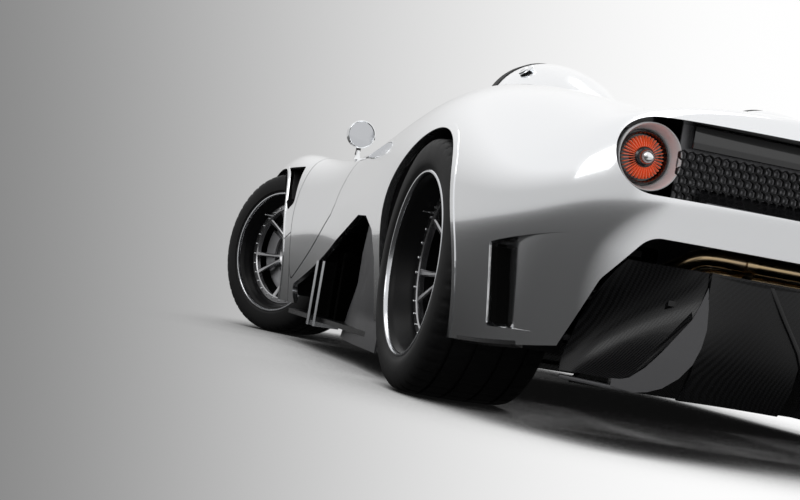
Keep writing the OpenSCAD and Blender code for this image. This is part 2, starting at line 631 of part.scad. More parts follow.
// Spindle and post that carry a wheel, between the balls of its wishbones
module upright() {
    translate([0, -6, 0]) rotate([-90, 0, 0]) cylinder(r = spindle_r, h = 46);
    translate([-35, -45, ball_r + seat_gap - arm_z]) cube([70, 40, 2 * (arm_z - ball_r - seat_gap)]);
}
module knuckle_left() color("gray") knuckle(1);
module knuckle_right() color("gray") knuckle(-1);
module rear_uprights() color("gray") for (s = [-1, 1]) at_rear(s) outboard(s) upright();
module driveshafts() color("gray") from_rear() both_sides()
    along_y(0, rear_tyre_r, 16, gearbox_w + seat_gap, rear_track_half - 45 - seat_gap);
// A flat fork from its two roots on the rail to the ball under or over the post
module arms(x, z, y, spread) {
    for (dz = [-arm_z, arm_z]) translate([x, 0, z + dz - ball_r]) {
        translate([0, y - ball_in, 0]) cylinder(r = 16, h = 2 * ball_r);
        translate([0, 0, 4]) linear_extrude(2 * ball_r - 8) difference() {
            polygon([[-9, y - ball_in], [9, y - ball_in], [spread + 12, arm_root], [-spread - 12, arm_root]]);
            polygon([[-6, y - ball_in - 60], [6, y - ball_in - 60], [spread - 18, arm_root + 14],
                [-spread + 18, arm_root + 14]]);
        }
    }
}
module wishbones() color("gray") from_rear() both_sides() {
    arms(0, rear_tyre_r, rear_track_half, 140);
    arms(wheelbase, front_tyre_r, front_track_half, 110);
}

// Round mirror on a short stalk that stands on the door's skin
module mirror_left() color("silver") from_rear() {
    foot = skin_point(11.55, 4.45) + 3 * seat_gap * skin_normal(11.55, 4.45);
    lean = skin_normal(11.55, 4.45);
    translate(foot) rotate([0, acos(lean[2]), atan2(lean[1], lean[0])]) cylinder(r = 16, h = 4);
    translate(foot + [0, 0, 1]) cylinder(r = 8, h = 815 - mirror_r - foot[2] + 10);
    translate([foot[0] - 15, foot[1], 815]) rotate([0, 90, 0]) cylinder(r = mirror_r, h = 30);
}
module mirror_right() mirror([0, 1, 0]) mirror_left();

module tyre_fl() color("black") at_front(1) tyre(front_tyre_r, front_tyre_w);
module tyre_fr() color("black") at_front(-1) outboard(-1) tyre(front_tyre_r, front_tyre_w);
module tyre_rl() color("black") at_rear(1) tyre(rear_tyre_r, rear_tyre_w);
module tyre_rr() color("black") at_rear(-1) outboard(-1) tyre(rear_tyre_r, rear_tyre_w);
module rim_fl() color("silver") at_front(1) rim(front_tyre_w, 60);
module rim_fr() color("silver") at_front(-1) outboard(-1) rim(front_tyre_w, 60);
module rim_rl() color("silver") at_rear(1) rim(rear_tyre_w, 78);
module rim_rr() color("silver") at_rear(-1) outboard(-1) rim(rear_tyre_w, 78);

tub();
front_clam();
rear_clam();
intake_ducts();
undertray();
wheel_liners();
diffuser();
rear_grille();
front_grille();
taillight_bezels();
taillight_lenses();
headlights();
windscreen();
fairings();
roll_hoops();
seat_left();
seat_right();
dashboard();
steering_column();
engine();
exhaust();
rear_uprights();
wishbones();
driveshafts();
door_left();
door_right();
mirror_left();
mirror_right();
front_lid();
engine_cover();
steering_wheel();
knuckle_left();
knuckle_right();
tyre_fl();
tyre_fr();
tyre_rl();
tyre_rr();
rim_fl();
rim_fr();
rim_rl();
rim_rr();
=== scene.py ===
import math

import bmesh
import bpy
import numpy as np
from mathutils import Matrix, Vector
from mathutils.bvhtree import BVHTree

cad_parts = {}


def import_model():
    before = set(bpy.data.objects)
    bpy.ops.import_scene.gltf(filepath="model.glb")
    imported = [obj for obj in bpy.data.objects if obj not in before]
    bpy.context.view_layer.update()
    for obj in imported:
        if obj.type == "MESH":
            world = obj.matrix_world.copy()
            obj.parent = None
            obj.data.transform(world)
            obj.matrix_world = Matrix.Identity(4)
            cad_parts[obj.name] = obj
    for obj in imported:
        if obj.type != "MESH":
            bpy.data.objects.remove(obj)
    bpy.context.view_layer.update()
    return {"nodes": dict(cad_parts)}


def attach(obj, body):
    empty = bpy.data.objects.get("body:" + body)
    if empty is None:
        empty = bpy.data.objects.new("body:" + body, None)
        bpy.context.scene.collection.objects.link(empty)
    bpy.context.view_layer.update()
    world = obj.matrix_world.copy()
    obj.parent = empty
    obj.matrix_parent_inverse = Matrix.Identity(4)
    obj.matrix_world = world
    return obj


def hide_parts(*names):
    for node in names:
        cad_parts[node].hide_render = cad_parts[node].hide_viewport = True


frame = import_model()
NODES = frame["nodes"]

# Lengths are in millimetres from the rear axle, and world() turns them into metres of the frame.
REAR_AXLE = -1217.5
WHEELBASE = 2500
REAR_R, FRONT_R = 354.5, 345
REAR_W, FRONT_W = 335, 256
REAR_TRACK, FRONT_TRACK = 810, 798
BEAD_R = 252
STEER = math.radians(30.5)
REAR_ARCH, FRONT_ARCH = 380, 362
SKIN_T = 20
PANEL_GAP = 6
LAMP_Y, LAMP_Z = 710, 664
SEAT_Y = 400


def world(p):
    p = np.asarray(p, float)
    return (p + np.array([REAR_AXLE, 0, 0])) / 1000


# ---------------------------------------------------------------- camera and light
def set_camera():
    yaw, pitch, roll = -0.2605, 0.0247, 0.1702
    cam = bpy.data.cameras.new("camera")
    cam.lens = 67.43
    cam.sensor_width = 36
    ob = bpy.data.objects.new("camera", cam)
    bpy.context.scene.collection.objects.link(ob)
    f = Vector((math.cos(yaw) * math.cos(pitch), math.sin(yaw) * math.cos(pitch), math.sin(pitch)))
    r0 = f.cross(Vector((0, 0, 1))).normalized()
    u0 = r0.cross(f)
    r = r0 * math.cos(roll) + u0 * math.sin(roll)
    u = -r0 * math.sin(roll) + u0 * math.cos(roll)
    m = Matrix((r, u, -f)).transposed().to_4x4()
    m.translation = Vector((-5.1763, 2.0641, 0.2819))
    ob.matrix_world = m
    cam.clip_end = 100
    bpy.context.scene.camera = ob


# ---------------------------------------------------------------- body surface
STATIONS = [
    [-700, -985, 0, 836, 15, 833, 40, 827, 73, 814, 92, 798, 100, 755, 640, 97, 500, 68, 300],
    [-690, -980, 250, 836, 15, 833, 40, 827, 73, 814, 92, 797, 100, 754, 640, 97, 500, 68, 300],
    [-670, -965, 500, 836, 17, 834, 44, 827, 75, 812, 93, 790, 99, 748, 632, 97, 490, 70, 290],
    [-630, -925, 715, 837, 22, 834, 50, 826, 76, 807, 91, 779, 98, 735, 618, 97.5, 470, 78, 260],
    [-560, -845, 860, 840, 26, 836, 54, 817, 73, 794, 86, 764, 95, 702, 600, 98.7, 440, 92, 220],
    [-430, -640, 950, 846, 28, 836, 52, 818, 61, 815, 70, 810, 87, 762, 590, 99, 410, 96, 190],
    [-230, -360, 985, 858, 27, 846, 49, 834, 58, 848, 67, 861, 87, 812, 600, 99, 400, 95, 180],
    [0, 0, 995, 870, 27, 852, 48, 838, 58, 868, 70, 903, 89, 842, 610, 99, 400, 95, 170],
    [300, 300, 990, 880, 27, 858, 48, 842, 60, 866, 73, 900, 90, 832, 600, 98.5, 400, 94.5, 170],
    [600, 600, 972, 885, 27, 866, 50, 842, 66, 846, 80, 853, 92, 785, 575, 98, 390, 94, 165],
    [900, 900, 950, 860, 27, 850, 50, 832, 68, 818, 84, 800, 94, 733, 545, 98.5, 385, 95, 160],
    [1250, 1250, 930, 830, 27, 822, 50, 805, 69, 785, 86, 757, 95, 690, 520, 98.5, 380, 95.5, 155],
    [1600, 1600, 925, 800, 27, 792, 50, 775, 69, 760, 87, 738, 96, 672, 510, 98.5, 375, 95.5, 152],
    [1950, 1950, 935, 745, 27, 738, 50, 722, 69, 730, 87, 752, 96, 682, 520, 99, 375, 96, 150],
    [2250, 2250, 952, 700, 27, 690, 48, 676, 65, 722, 86, 782, 96, 705, 540, 99.5, 375, 96, 150],
    [2550, 2550, 955, 672, 27, 662, 48, 650, 64, 716, 84, 790, 95.5, 710, 545, 99.5, 375, 95, 150],
    [2830, 2860, 930, 630, 27, 620, 48, 608, 63, 668, 82, 748, 94.5, 675, 530, 99, 370, 94, 150],
    [2960, 3080, 870, 592, 27, 580, 48, 567, 64, 612, 80, 680, 93, 620, 500, 99, 360, 93, 160],
    [3060, 3245, 750, 568, 25, 560, 48, 549, 66, 575, 81, 605, 93, 562, 465, 99, 345, 92, 170],
    [3130, 3350, 560, 556, 20, 550, 42, 539, 64, 532, 81, 520, 94, 495, 430, 99, 325, 88, 175],
    [3180, 3405, 300, 545, 14, 538, 30, 526, 56, 502, 78, 478, 93, 448, 400, 98.5, 310, 84, 178],
    [3200, 3420, 0, 541, 12, 534, 28, 522, 54, 498, 77, 472, 93, 442, 395, 98, 305, 82, 178]]
LAST = len(STATIONS) - 1


def control_net():
    rows = []
    for r in STATIONS:
        shares = [-r[4], 0, r[4], r[6], r[8], r[10], r[12], 100, r[15], r[17]]
        heights = [r[5], r[3], r[5], r[7], r[9], r[11], r[13], r[14], r[16], r[18]]
        pts = [np.array([r[0] + (r[1] - r[0]) * s / 100, r[2] * s / 100, z], float)
               for s, z in zip(shares, heights)]
        pts.append(2 * pts[9] - pts[8])
        sharp = [p.copy() for p in pts]
        for j in range(1, 10):
            sharp[j] = pts[j] - (pts[j - 1] - 2 * pts[j] + pts[j + 1]) / 6
        rows.append(np.array(sharp))
    rows = np.array(rows)
    flip = np.array([1, -1, 1])
    ext = np.concatenate([[rows[1] * flip], rows, [rows[-2] * flip]])
    inner = ext[1:-1] - (ext[:-2] - 2 * ext[1:-1] + ext[2:]) / 6
    inner[:, 0] = inner[:, 2] * flip
    inner[:, 10] = 2 * inner[:, 9] - inner[:, 8]
    return np.concatenate([[inner[1] * flip], inner, [inner[-2] * flip]])


NET = control_net()


def weights(f):
    return np.stack([(1 - f) ** 3, 3 * f ** 3 - 6 * f ** 2 + 4, -3 * f ** 3 + 3 * f ** 2 + 3 * f + 1, f ** 3], -1) / 6


def skin_points(u, v):
    """Points of the body's left half: u runs from tail to nose, v from the middle (0) to the sill (8)."""
    u, v = np.broadcast_arrays(np.asarray(u, float), np.asarray(v, float))
    i = np.minimum(np.floor(u).astype(int), LAST - 1)
    j = np.minimum(np.floor(v).astype(int), 7)
    a, b = weights(u - i), weights(v - j)
    out = np.zeros(u.shape + (3,))
    for k in range(4):
        for m in range(4):
            out += (a[..., k] * b[..., m])[..., None] * NET[i + k, j + m]
    out[..., 1] = np.where((v == 0) | (u == 0) | (u == LAST), 0, out[..., 1])
    return out


def skin_normals(u, v):
    e = 0.02
    u, v = np.broadcast_arrays(np.asarray(u, float), np.asarray(v, float))
    w = np.maximum(v, 0.12)
    ua, ub = np.maximum(u - e, 0), np.minimum(u + e, LAST)
    va, vb = w - e, np.minimum(w + e, 8)
    n = np.cross(skin_points(ub, w) - skin_points(ua, w),
                 skin_points(ua, vb) - skin_points(ua, va) + skin_points(ub, vb) - skin_points(ub, va))
    n /= np.linalg.norm(n, axis=-1, keepdims=True)
    flat = (v == 0) | (u == 0) | (u == LAST)
    n[..., 1] = np.where(flat, 0, n[..., 1])
    return n / np.linalg.norm(n, axis=-1, keepdims=True)


def span(a, b, step):
    return np.linspace(a, b, int(round((b - a) / step)) + 1)


# ---------------------------------------------------------------- mesh helpers
def make(name, verts, faces, smooth=False):
    """A mesh object from points in millimetres."""
    me = bpy.data.meshes.new(name)
    me.from_pydata([tuple(p) for p in world(verts)], [], [tuple(int(i) for i in f) for f in faces])
    me.update()
    ob = bpy.data.objects.new(name, me)
    bpy.context.scene.collection.objects.link(ob)
    if smooth:
        shade(ob)
    return ob


def shade(ob, angle=32):
    for p in ob.data.polygons:
        p.use_smooth = True
    ob.data.set_sharp_from_angle(angle=math.radians(angle))
    return ob


def grid_faces(m, n, base=0, flip=False):
    out = []
    for i in range(m - 1):
        for j in range(n - 1):
            a = base + i * n + j
            f = (a, a + n, a + n + 1, a + 1)
            out.append(f[::-1] if flip else f)
    return out


def hull2d(points):
    pts = sorted(set((round(float(x), 4), round(float(y), 4)) for x, y in points))
    def half(seq):
        out = []
        for p in seq:
            while len(out) > 1 and ((out[-1][0] - out[-2][0]) * (p[1] - out[-2][1])
                                    - (out[-1][1] - out[-2][1]) * (p[0] - out[-2][0])) <= 0:
                out.pop()
            out.append(p)
        return out
    lower, upper = half(pts), half(pts[::-1])
    return lower[:-1] + upper[:-1]


def rounded(points, r, n=48):
    """Convex outline round circles of radius r at the points."""
    t = np.linspace(0, 2 * math.pi, n, endpoint=False)
    return hull2d([(x + r * math.cos(a), y + r * math.sin(a)) for x, y in points for a in t])


AXES = {"x": (1, 2, 0), "y": (0, 2, 1), "z": (0, 1, 2)}


def prism_mesh(outline, axis, a, b):
    """Points and faces of a straight prism over an outline, from a to b along an axis."""
    i, j, k = AXES[axis]
    n = len(outline)
    v = np.zeros((2 * n, 3))
    for s, c in enumerate((a, b)):
        for q, (x, y) in enumerate(outline):
            v[s * n + q, i], v[s * n + q, j], v[s * n + q, k] = x, y, c
    area = sum(outline[q][0] * outline[(q + 1) % n][1] - outline[(q + 1) % n][0] * outline[q][1] for q in range(n))
    sign = area * (1 if axis != "y" else -1)
    faces = [tuple(range(n))[::-1], tuple(range(n, 2 * n))]
    faces += [(q, (q + 1) % n, n + (q + 1) % n, n + q) for q in range(n)]
    if sign < 0:
        faces = [f[::-1] for f in faces]
    return v, faces


def prism(name, outline, axis, a, b):
    return make(name, *prism_mesh(outline, axis, a, b))


def mirrored(v, f):
    v = np.array(v, float)
    v[:, 1] *= -1
    return v, [tuple(q)[::-1] for q in f]


def joined(parts):
    verts, faces, base = [], [], 0
    for v, f in parts:
        verts.append(np.asarray(v, float))
        faces += [tuple(i + base for i in q) for q in f]
        base += len(v)
    return np.concatenate(verts), faces


def both(mesh):
    return joined([mesh, mirrored(*mesh)])


def cut(ob, other, operation="DIFFERENCE", solver="MANIFOLD", keep=False):
    """Applies a boolean of another object and deletes that object."""
    mod = ob.modifiers.new("cut", "BOOLEAN")
    mod.operation, mod.object, mod.solver = operation, other, solver
    dg = bpy.context.evaluated_depsgraph_get()
    dg.update()
    me = bpy.data.meshes.new_from_object(ob.evaluated_get(dg))
    if not len(me.polygons) and solver == "MANIFOLD":
        ob.modifiers.clear()
        bpy.data.meshes.remove(me)
        return cut(ob, other, operation, "EXACT", keep)
    ob.modifiers.clear()
    old, ob.data = ob.data, me
    me.name = ob.name
    bpy.data.meshes.remove(old)
    if not keep:
        bpy.data.objects.remove(other, do_unlink=True)
    return ob


def copy_of(ob, name):
    new = bpy.data.objects.new(name, ob.data.copy())
    bpy.context.scene.collection.objects.link(new)
    return new


def finish_piece(ob, body, material, slot, replaces=()):
    ob.data.materials.clear()
    for m in material if isinstance(material, (list, tuple)) else [material]:
        ob.data.materials.append(m)
    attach(ob, body)
    if replaces:
        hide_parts(*replaces)
    return ob


# ---------------------------------------------------------------- materials
class Graph:
    def __init__(self, tree):
        self.t = tree

    def add(self, kind, ins=None, **props):
        n = self.t.nodes.new(kind)
        for k, v in props.items():
            setattr(n, k, v)
        for k, v in (ins or {}).items():
            if isinstance(v, bpy.types.NodeSocket):
                self.t.links.new(v, n.inputs[k])
            else:
                n.inputs[k].default_value = v
        return n

    def math(self, op, *args, clamp=False):
        return self.add("ShaderNodeMath", dict(enumerate(args)), operation=op, use_clamp=clamp).outputs[0]

    def xyz(self, socket):
        n = self.add("ShaderNodeSeparateXYZ", {0: socket})
        return n.outputs[0], n.outputs[1], n.outputs[2]

    def mix(self, f, a, b):
        n = self.add("ShaderNodeMix", {}, data_type="RGBA")
        for k, v in ((0, f), (6, a), (7, b)):
            if isinstance(v, bpy.types.NodeSocket):
                self.t.links.new(v, n.inputs[k])
            else:
                n.inputs[k].default_value = v
        return n.outputs[2]

    def noise(self, vec, scale, detail=3.0):
        return self.add("ShaderNodeTexNoise", {"Vector": vec, "Scale": scale, "Detail": detail}).outputs["Fac"]

    def ramp(self, f, a, b):
        n = self.add("ShaderNodeMapRange", {"Value": f, "To Min": a, "To Max": b})
        return n.outputs[0]


def rgba(c, k=1.0):
    return (c[0] * k, c[1] * k, c[2] * k, 1.0)


def material(name, color, rough, metal=0.0, coat=0.0, build=None, **sockets):
    m = bpy.data.materials.new(name)
    m.use_nodes = True
    b = m.node_tree.nodes["Principled BSDF"]
    b.inputs["Base Color"].default_value = rgba(color)
    b.inputs["Roughness"].default_value = rough
    b.inputs["Metallic"].default_value = metal
    b.inputs["Coat Weight"].default_value = coat
    b.inputs["Coat Roughness"].default_value = 0.03
    for k, v in sockets.items():
        b.inputs[k.replace("_", " ")].default_value = v
    g = Graph(m.node_tree)
    pos = g.add("ShaderNodeTexCoord").outputs["Object"]
    (build or grain())(g, b, pos, color, rough)
    return m


def bumped(g, b, height, strength, distance):
    n = g.add("ShaderNodeBump", {"Height": height, "Strength": strength, "Distance": distance})
    g.t.links.new(n.outputs[0], b.inputs["Normal"])


def grain(scale=900.0, tone=0.12, rough_by=0.05, bump=0.0, depth=0.0003):
    """Fine variation of colour and roughness, with an optional bump."""
    def build(g, b, pos, color, rough):
        f = g.noise(pos, scale)
        g.t.links.new(g.mix(f, rgba(color, 1 - tone), rgba(color, 1 + tone)), b.inputs["Base Color"])
        wide = g.noise(pos, scale / 60, 2.0)
        g.t.links.new(g.ramp(wide, max(rough - rough_by, 0.0), rough + rough_by), b.inputs["Roughness"])
        if bump:
            bumped(g, b, f, bump, depth)
    return build


def flake(g, b, pos, color, rough):
    """Metallic paint: tiny flakes under the clear coat."""
    cells = g.add("ShaderNodeTexVoronoi", {"Vector": pos, "Scale": 1600.0})
    tone = g.xyz(cells.outputs["Color"])[0]
    g.t.links.new(g.mix(tone, rgba(color, 0.975), rgba(color, 1.02)), b.inputs["Base Color"])
    g.t.links.new(g.ramp(tone, rough - 0.02, rough + 0.02), b.inputs["Roughness"])


def twill(g, b, pos, color, rough):
    """Two-by-two twill of carbon tows under lacquer."""
    x, y, z = g.xyz(pos)
    along = g.math("MULTIPLY", g.math("ADD", y, x), 285.0)
    over = g.math("MULTIPLY", g.math("ADD", z, g.math("MULTIPLY", x, 0.5)), 285.0)
    step = g.math("ADD", g.math("FLOOR", along), g.math("FLOOR", over))
    warp = g.math("LESS_THAN", g.math("FLOORED_MODULO", step, 4.0), 1.5)
    rib_a = g.math("ABSOLUTE", g.math("SUBTRACT", g.math("FRACT", along), 0.5))
    rib_b = g.math("ABSOLUTE", g.math("SUBTRACT", g.math("FRACT", over), 0.5))
    rib = g.math("ADD", g.math("MULTIPLY", rib_a, warp),
                 g.math("MULTIPLY", rib_b, g.math("SUBTRACT", 1.0, warp)))
    # Warp tows lighter than weft tows: painted sheen in place of the fibres' directional reflection
    g.t.links.new(g.mix(warp, rgba(color, 0.65), rgba(color, 1.4)), b.inputs["Base Color"])
    g.t.links.new(g.ramp(warp, rough - 0.04, rough + 0.06), b.inputs["Roughness"])
    bumped(g, b, g.math("SUBTRACT", 1.0, rib), 0.12, 0.0002)


def brushed(axis=0):
    """Turned or brushed metal: streaks drawn along one axis."""
    def build(g, b, pos, color, rough):
        size = [900.0, 900.0, 900.0]
        size[axis] = 14.0
        m = g.add("ShaderNodeVectorMath", {0: pos, 1: tuple(size)}, operation="MULTIPLY")
        f = g.noise(m.outputs[0], 1.0, 2.0)
        g.t.links.new(g.mix(f, rgba(color, 0.85), rgba(color, 1.08)), b.inputs["Base Color"])
        g.t.links.new(g.ramp(f, rough - 0.05, rough + 0.08), b.inputs["Roughness"])
    return build


def heat_tint(g, b, pos, color, rough):
    """Straw to bronze and blue bands of heated steel along the pipes."""
    x, _, _ = g.xyz(pos)
    f = g.noise(pos, 18.0, 3.0)
    band = g.math("SINE", g.math("ADD", g.math("MULTIPLY", x, 26.0), g.math("MULTIPLY", f, 3.0)))
    warm = g.mix(g.ramp(band, 0.0, 1.0), rgba((0.55, 0.40, 0.20)), rgba((0.78, 0.66, 0.42)))
    g.t.links.new(g.mix(g.math("MULTIPLY", f, 0.35), warm, rgba((0.35, 0.33, 0.40))), b.inputs["Base Color"])
    g.t.links.new(g.ramp(f, rough - 0.04, rough + 0.1), b.inputs["Roughness"])


def hide(g, b, pos, color, rough):
    """Leather: small irregular cells with fine creases."""
    cells = g.add("ShaderNodeTexVoronoi", {"Vector": pos, "Scale": 420.0}, feature="DISTANCE_TO_EDGE")
    f = g.noise(pos, 30.0, 3.0)
    g.t.links.new(g.mix(f, rgba(color, 0.8), rgba(color, 1.3)), b.inputs["Base Color"])
    g.t.links.new(g.ramp(f, rough - 0.08, rough + 0.08), b.inputs["Roughness"])
    bumped(g, b, cells.outputs["Distance"], 0.5, 0.0006)


PAINT = material("paint_silver", (0.83, 0.84, 0.855), 0.13, 0.97, 0.8, flake)
CARBON = material("carbon_twill", (0.006, 0.006, 0.0066), 0.3, 0.0, 0.06, twill, Specular_IOR_Level=0.3)
BLACK = material("black_gloss", (0.006, 0.006, 0.007), 0.12, 0.0, 0.6, grain(600, 0.2, 0.03))
MATT = material("black_matt", (0.014, 0.014, 0.015), 0.62, build=grain(700, 0.35, 0.08, 0.2, 0.0004),
                Specular_IOR_Level=0.2)
# Near-black painted shade for the corner slot, the vent box and the intake ducts, in place of the shade inside these
# openings
PAINTED_SHADE = material("painted_shade_cavity", (0.002, 0.002, 0.002), 0.8, build=grain(700, 0.3, 0.05), Specular_IOR_Level=0.05)
MESH_GREY = material("mesh_grey", (0.20, 0.20, 0.21), 0.42, 0.3, build=grain(900, 0.25, 0.08, 0.15, 0.0003))
CHROME = material("chrome", (0.82, 0.83, 0.84), 0.07, 1.0, build=grain(300, 0.02, 0.02))
POLISHED = material("polished_alloy", (0.60, 0.61, 0.63), 0.17, 1.0, build=grain(500, 0.05, 0.04))
DARK_ALLOY = material("dark_alloy", (0.10, 0.10, 0.108), 0.26, 0.9, 0.4, grain(700, 0.15, 0.05))
STEEL = material("steel", (0.42, 0.42, 0.43), 0.32, 1.0, build=brushed(1))
CAST = material("cast_alloy", (0.22, 0.22, 0.23), 0.5, 0.8, build=grain(260, 0.25, 0.1, 0.35, 0.0008))
HOT = material("heated_steel", (0.6, 0.48, 0.3), 0.2, 1.0, build=heat_tint)
RUBBER = material("rubber", (0.006, 0.006, 0.0063), 0.6, build=grain(520, 0.3, 0.1, 0.3, 0.0004),
                  Specular_IOR_Level=0.25)
LEATHER = material("leather", (0.022, 0.021, 0.021), 0.48, build=hide)
RED = material("red_lens", (0.80, 0.10, 0.03), 0.12, 0.0, 1.0, grain(200, 0.15, 0.03),
               Emission_Color=(1.0, 0.16, 0.04, 1.0), Emission_Strength=0.25)
GLASS = material("tinted_glass", (0.010, 0.011, 0.012), 0.05, 0.0, 0.0, grain(60, 0.05, 0.01),
                 Transmission_Weight=0.12, IOR=1.08)
LAMP = material("lamp_glass", (0.85, 0.87, 0.9), 0.03, 0.0, 0.0, grain(60, 0.03, 0.01),
                Transmission_Weight=0.9, IOR=1.45)
MIRROR = material("mirror_glass", (0.50, 0.51, 0.53), 0.02, 1.0, build=grain(40, 0.01, 0.005))
# White of the dial marks, and of the tail lamp cups, which are chrome: there the white is painted reflection
WHITE_PRINT_AND_PAINTED_REFLECTION = material("white_print_and_painted_reflection", (0.94, 0.94, 0.95), 0.2, 0.0, 0.4, grain(300, 0.05, 0.05))
GREY_COAT = material("grey_coat", (0.075, 0.075, 0.08), 0.4, 0.0, 0.2, grain(500, 0.15, 0.05))
CALIPER = material("caliper", (0.30, 0.30, 0.31), 0.35, 0.6, 0.3, grain(400, 0.15, 0.05))


# ---------------------------------------------------------------- stage and lights
def set_stage():
    n = 96
    t = np.linspace(0, 2 * math.pi, n, endpoint=False)
    me = bpy.data.meshes.new("floor")
    me.from_pydata([(16 * math.cos(a), 16 * math.sin(a), 0) for a in t], [], [tuple(range(n))])
    floor = bpy.data.objects.new("floor", me)
    bpy.context.scene.collection.objects.link(floor)
    m = bpy.data.materials.new("pale_floor")
    m.use_nodes = True
    g = Graph(m.node_tree)
    b = m.node_tree.nodes["Principled BSDF"]
    out = m.node_tree.nodes["Material Output"]
    b.inputs["Roughness"].default_value = 0.6
    b.inputs["Specular IOR Level"].default_value = 0.2
    pos = g.add("ShaderNodeNewGeometry").outputs["Position"]
    x, y, z = g.xyz(pos)
    # Painted light falloff: the floor's colour grows paler towards the car's right
    side = g.math("ADD", g.math("MULTIPLY", x, -0.26), g.math("MULTIPLY", y, -0.97))
    tone = g.add("ShaderNodeMapRange", {"Value": side, "From Min": -4.6, "From Max": -0.6, "To Min": FLOOR_DARK,
                                        "To Max": FLOOR_PALE}).outputs[0]
    colour = g.add("ShaderNodeCombineXYZ", {0: tone, 1: tone, 2: tone}).outputs[0]
    g.t.links.new(colour, b.inputs["Base Color"])
    path = g.add("ShaderNodeLightPath")
    # For glossy rays the floor is an emission, a painted reflection: dark near the car as painted shade, paler far from
    # it
    r = g.math("SQRT", g.math("ADD", g.math("MULTIPLY", x, x), g.math("MULTIPLY", y, y)))
    far = g.add("ShaderNodeMapRange", {"Value": r, "From Min": 1.5, "From Max": 9.0, "To Min": FLOOR_NEAR,
                                       "To Max": FLOOR_FAR}).outputs[0]
    # Painted light behind the tail: the glossy-ray emission brightens there into a patch that the bumper mirrors as a
    # painted highlight
    behind = g.add("ShaderNodeMapRange", {"Value": x, "From Min": -2.35, "From Max": -3.0}).outputs[0]
    middle = g.add("ShaderNodeMapRange", {"Value": y, "From Min": 1.5, "From Max": 0.75}).outputs[0]
    lit = g.math("MULTIPLY", g.math("MULTIPLY", behind, middle), FLOOR_BEHIND)
    dim = g.add("ShaderNodeEmission", {"Color": (1, 1, 1, 1), "Strength": g.math("MAXIMUM", far, lit)})
    seen = g.add("ShaderNodeMixShader", {0: g.math("MULTIPLY", path.outputs["Is Glossy Ray"], 0.9),
                                         1: b.outputs[0], 2: dim.outputs[0]})
    # Seen directly, the floor is as pale as the backdrop but for the car's soft shadow, which is a painted shadow: a
    # near-black emission mixed in where ambient occlusion is low
    ao = g.add("ShaderNodeAmbientOcclusion", {"Distance": SHADOW_REACH}, samples=12)
    shade_ = g.add("ShaderNodeMapRange", {"Value": ao.outputs["AO"], "From Min": 0.12, "From Max": 0.84},
                   interpolation_type="SMOOTHSTEP").outputs[0]
    clear = g.add("ShaderNodeBsdfTransparent")
    painted_shadow = g.add("ShaderNodeEmission", {"Color": (1, 1, 1, 1), "Strength": 0.004})
    shown = g.add("ShaderNodeMixShader", {0: shade_, 1: painted_shadow.outputs[0], 2: clear.outputs[0]})
    last = g.add("ShaderNodeMixShader", {0: path.outputs["Is Camera Ray"], 1: seen.outputs[0],
                                         2: shown.outputs[0]})
    g.t.links.new(last.outputs[0], out.inputs["Surface"])
    floor.data.materials.append(m)


# Floor levels of painted light: FLOOR_DARK and FLOOR_PALE its painted falloff, FLOOR_NEAR and FLOOR_FAR its glossy-ray
# glow, FLOOR_BEHIND its painted pool of light, SHADOW_REACH the reach of its painted shadow
FLOOR_DARK, FLOOR_PALE, FLOOR_NEAR, FLOOR_FAR, SHADOW_REACH = 0.10, 0.36, 0.02, 0.20, 0.9
FLOOR_BEHIND = 0.72
BACK_DARK, BACK_PALE, SKY, WALLS = 0.20, 1.0, 1.02, 0.62


def set_world():
    w = bpy.data.worlds.new("studio")
    bpy.context.scene.world = w
    w.use_nodes = True
    g = Graph(w.node_tree)
    bg = w.node_tree.nodes["Background"]
    d = g.add("ShaderNodeTexCoord").outputs["Generated"]
    x, y, z = g.xyz(d)
    # Across the view: grey on the car's left, white on its right
    side = g.math("ADD", g.math("MULTIPLY", x, -0.258), g.math("MULTIPLY", y, -0.951))
    side = g.math("ADD", side, g.math("MULTIPLY", z, 0.169))
    f = g.add("ShaderNodeMapRange", {"Value": side, "From Min": -0.36, "From Max": 0.26, "To Min": BACK_DARK,
                                     "To Max": BACK_PALE}, interpolation_type="SMOOTHSTEP").outputs[0]
    up = g.add("ShaderNodeMapRange", {"Value": z, "From Min": 0.20, "From Max": 0.50, "To Min": 0.0,
                                      "To Max": 1.0}).outputs[0]
    seen = g.math("ADD", g.math("MULTIPLY", f, g.math("SUBTRACT", 1.0, up)), g.math("MULTIPLY", up, SKY))
    # The paint mirrors pale side walls and a bright ceiling
    high = g.add("ShaderNodeMapRange", {"Value": z, "From Min": 0.16, "From Max": 0.42}).outputs[0]
    walls = g.math("MULTIPLY", g.math("MAXIMUM", f, WALLS), g.math("SUBTRACT", 1.0, high))
    mirrored_level = g.math("ADD", walls, g.math("MULTIPLY", high, SKY))
    path = g.add("ShaderNodeLightPath")
    direct = g.math("MAXIMUM", path.outputs["Is Camera Ray"], path.outputs["Is Transmission Ray"])
    glossy = path.outputs["Is Glossy Ray"]
    rest = g.math("SUBTRACT", g.math("SUBTRACT", 1.0, direct), glossy)
    level = g.math("ADD", g.math("MULTIPLY", seen, direct), g.math("MULTIPLY", mirrored_level, glossy))
    level = g.math("ADD", level, g.math("MULTIPLY", 0.42, rest))
    bg.inputs["Color"].default_value = (1, 1, 1, 1)
    g.t.links.new(level, bg.inputs["Strength"])


def area_light(name, place, target, size, watts):
    li = bpy.data.lights.new(name, "AREA")
    li.shape, li.size, li.size_y, li.energy = "RECTANGLE", size[0], size[1], watts
    ob = bpy.data.objects.new(name, li)
    bpy.context.scene.collection.objects.link(ob)
    ob.location = place
    ob.rotation_euler = (Vector(target) - Vector(place)).to_track_quat("-Z", "Y").to_euler()


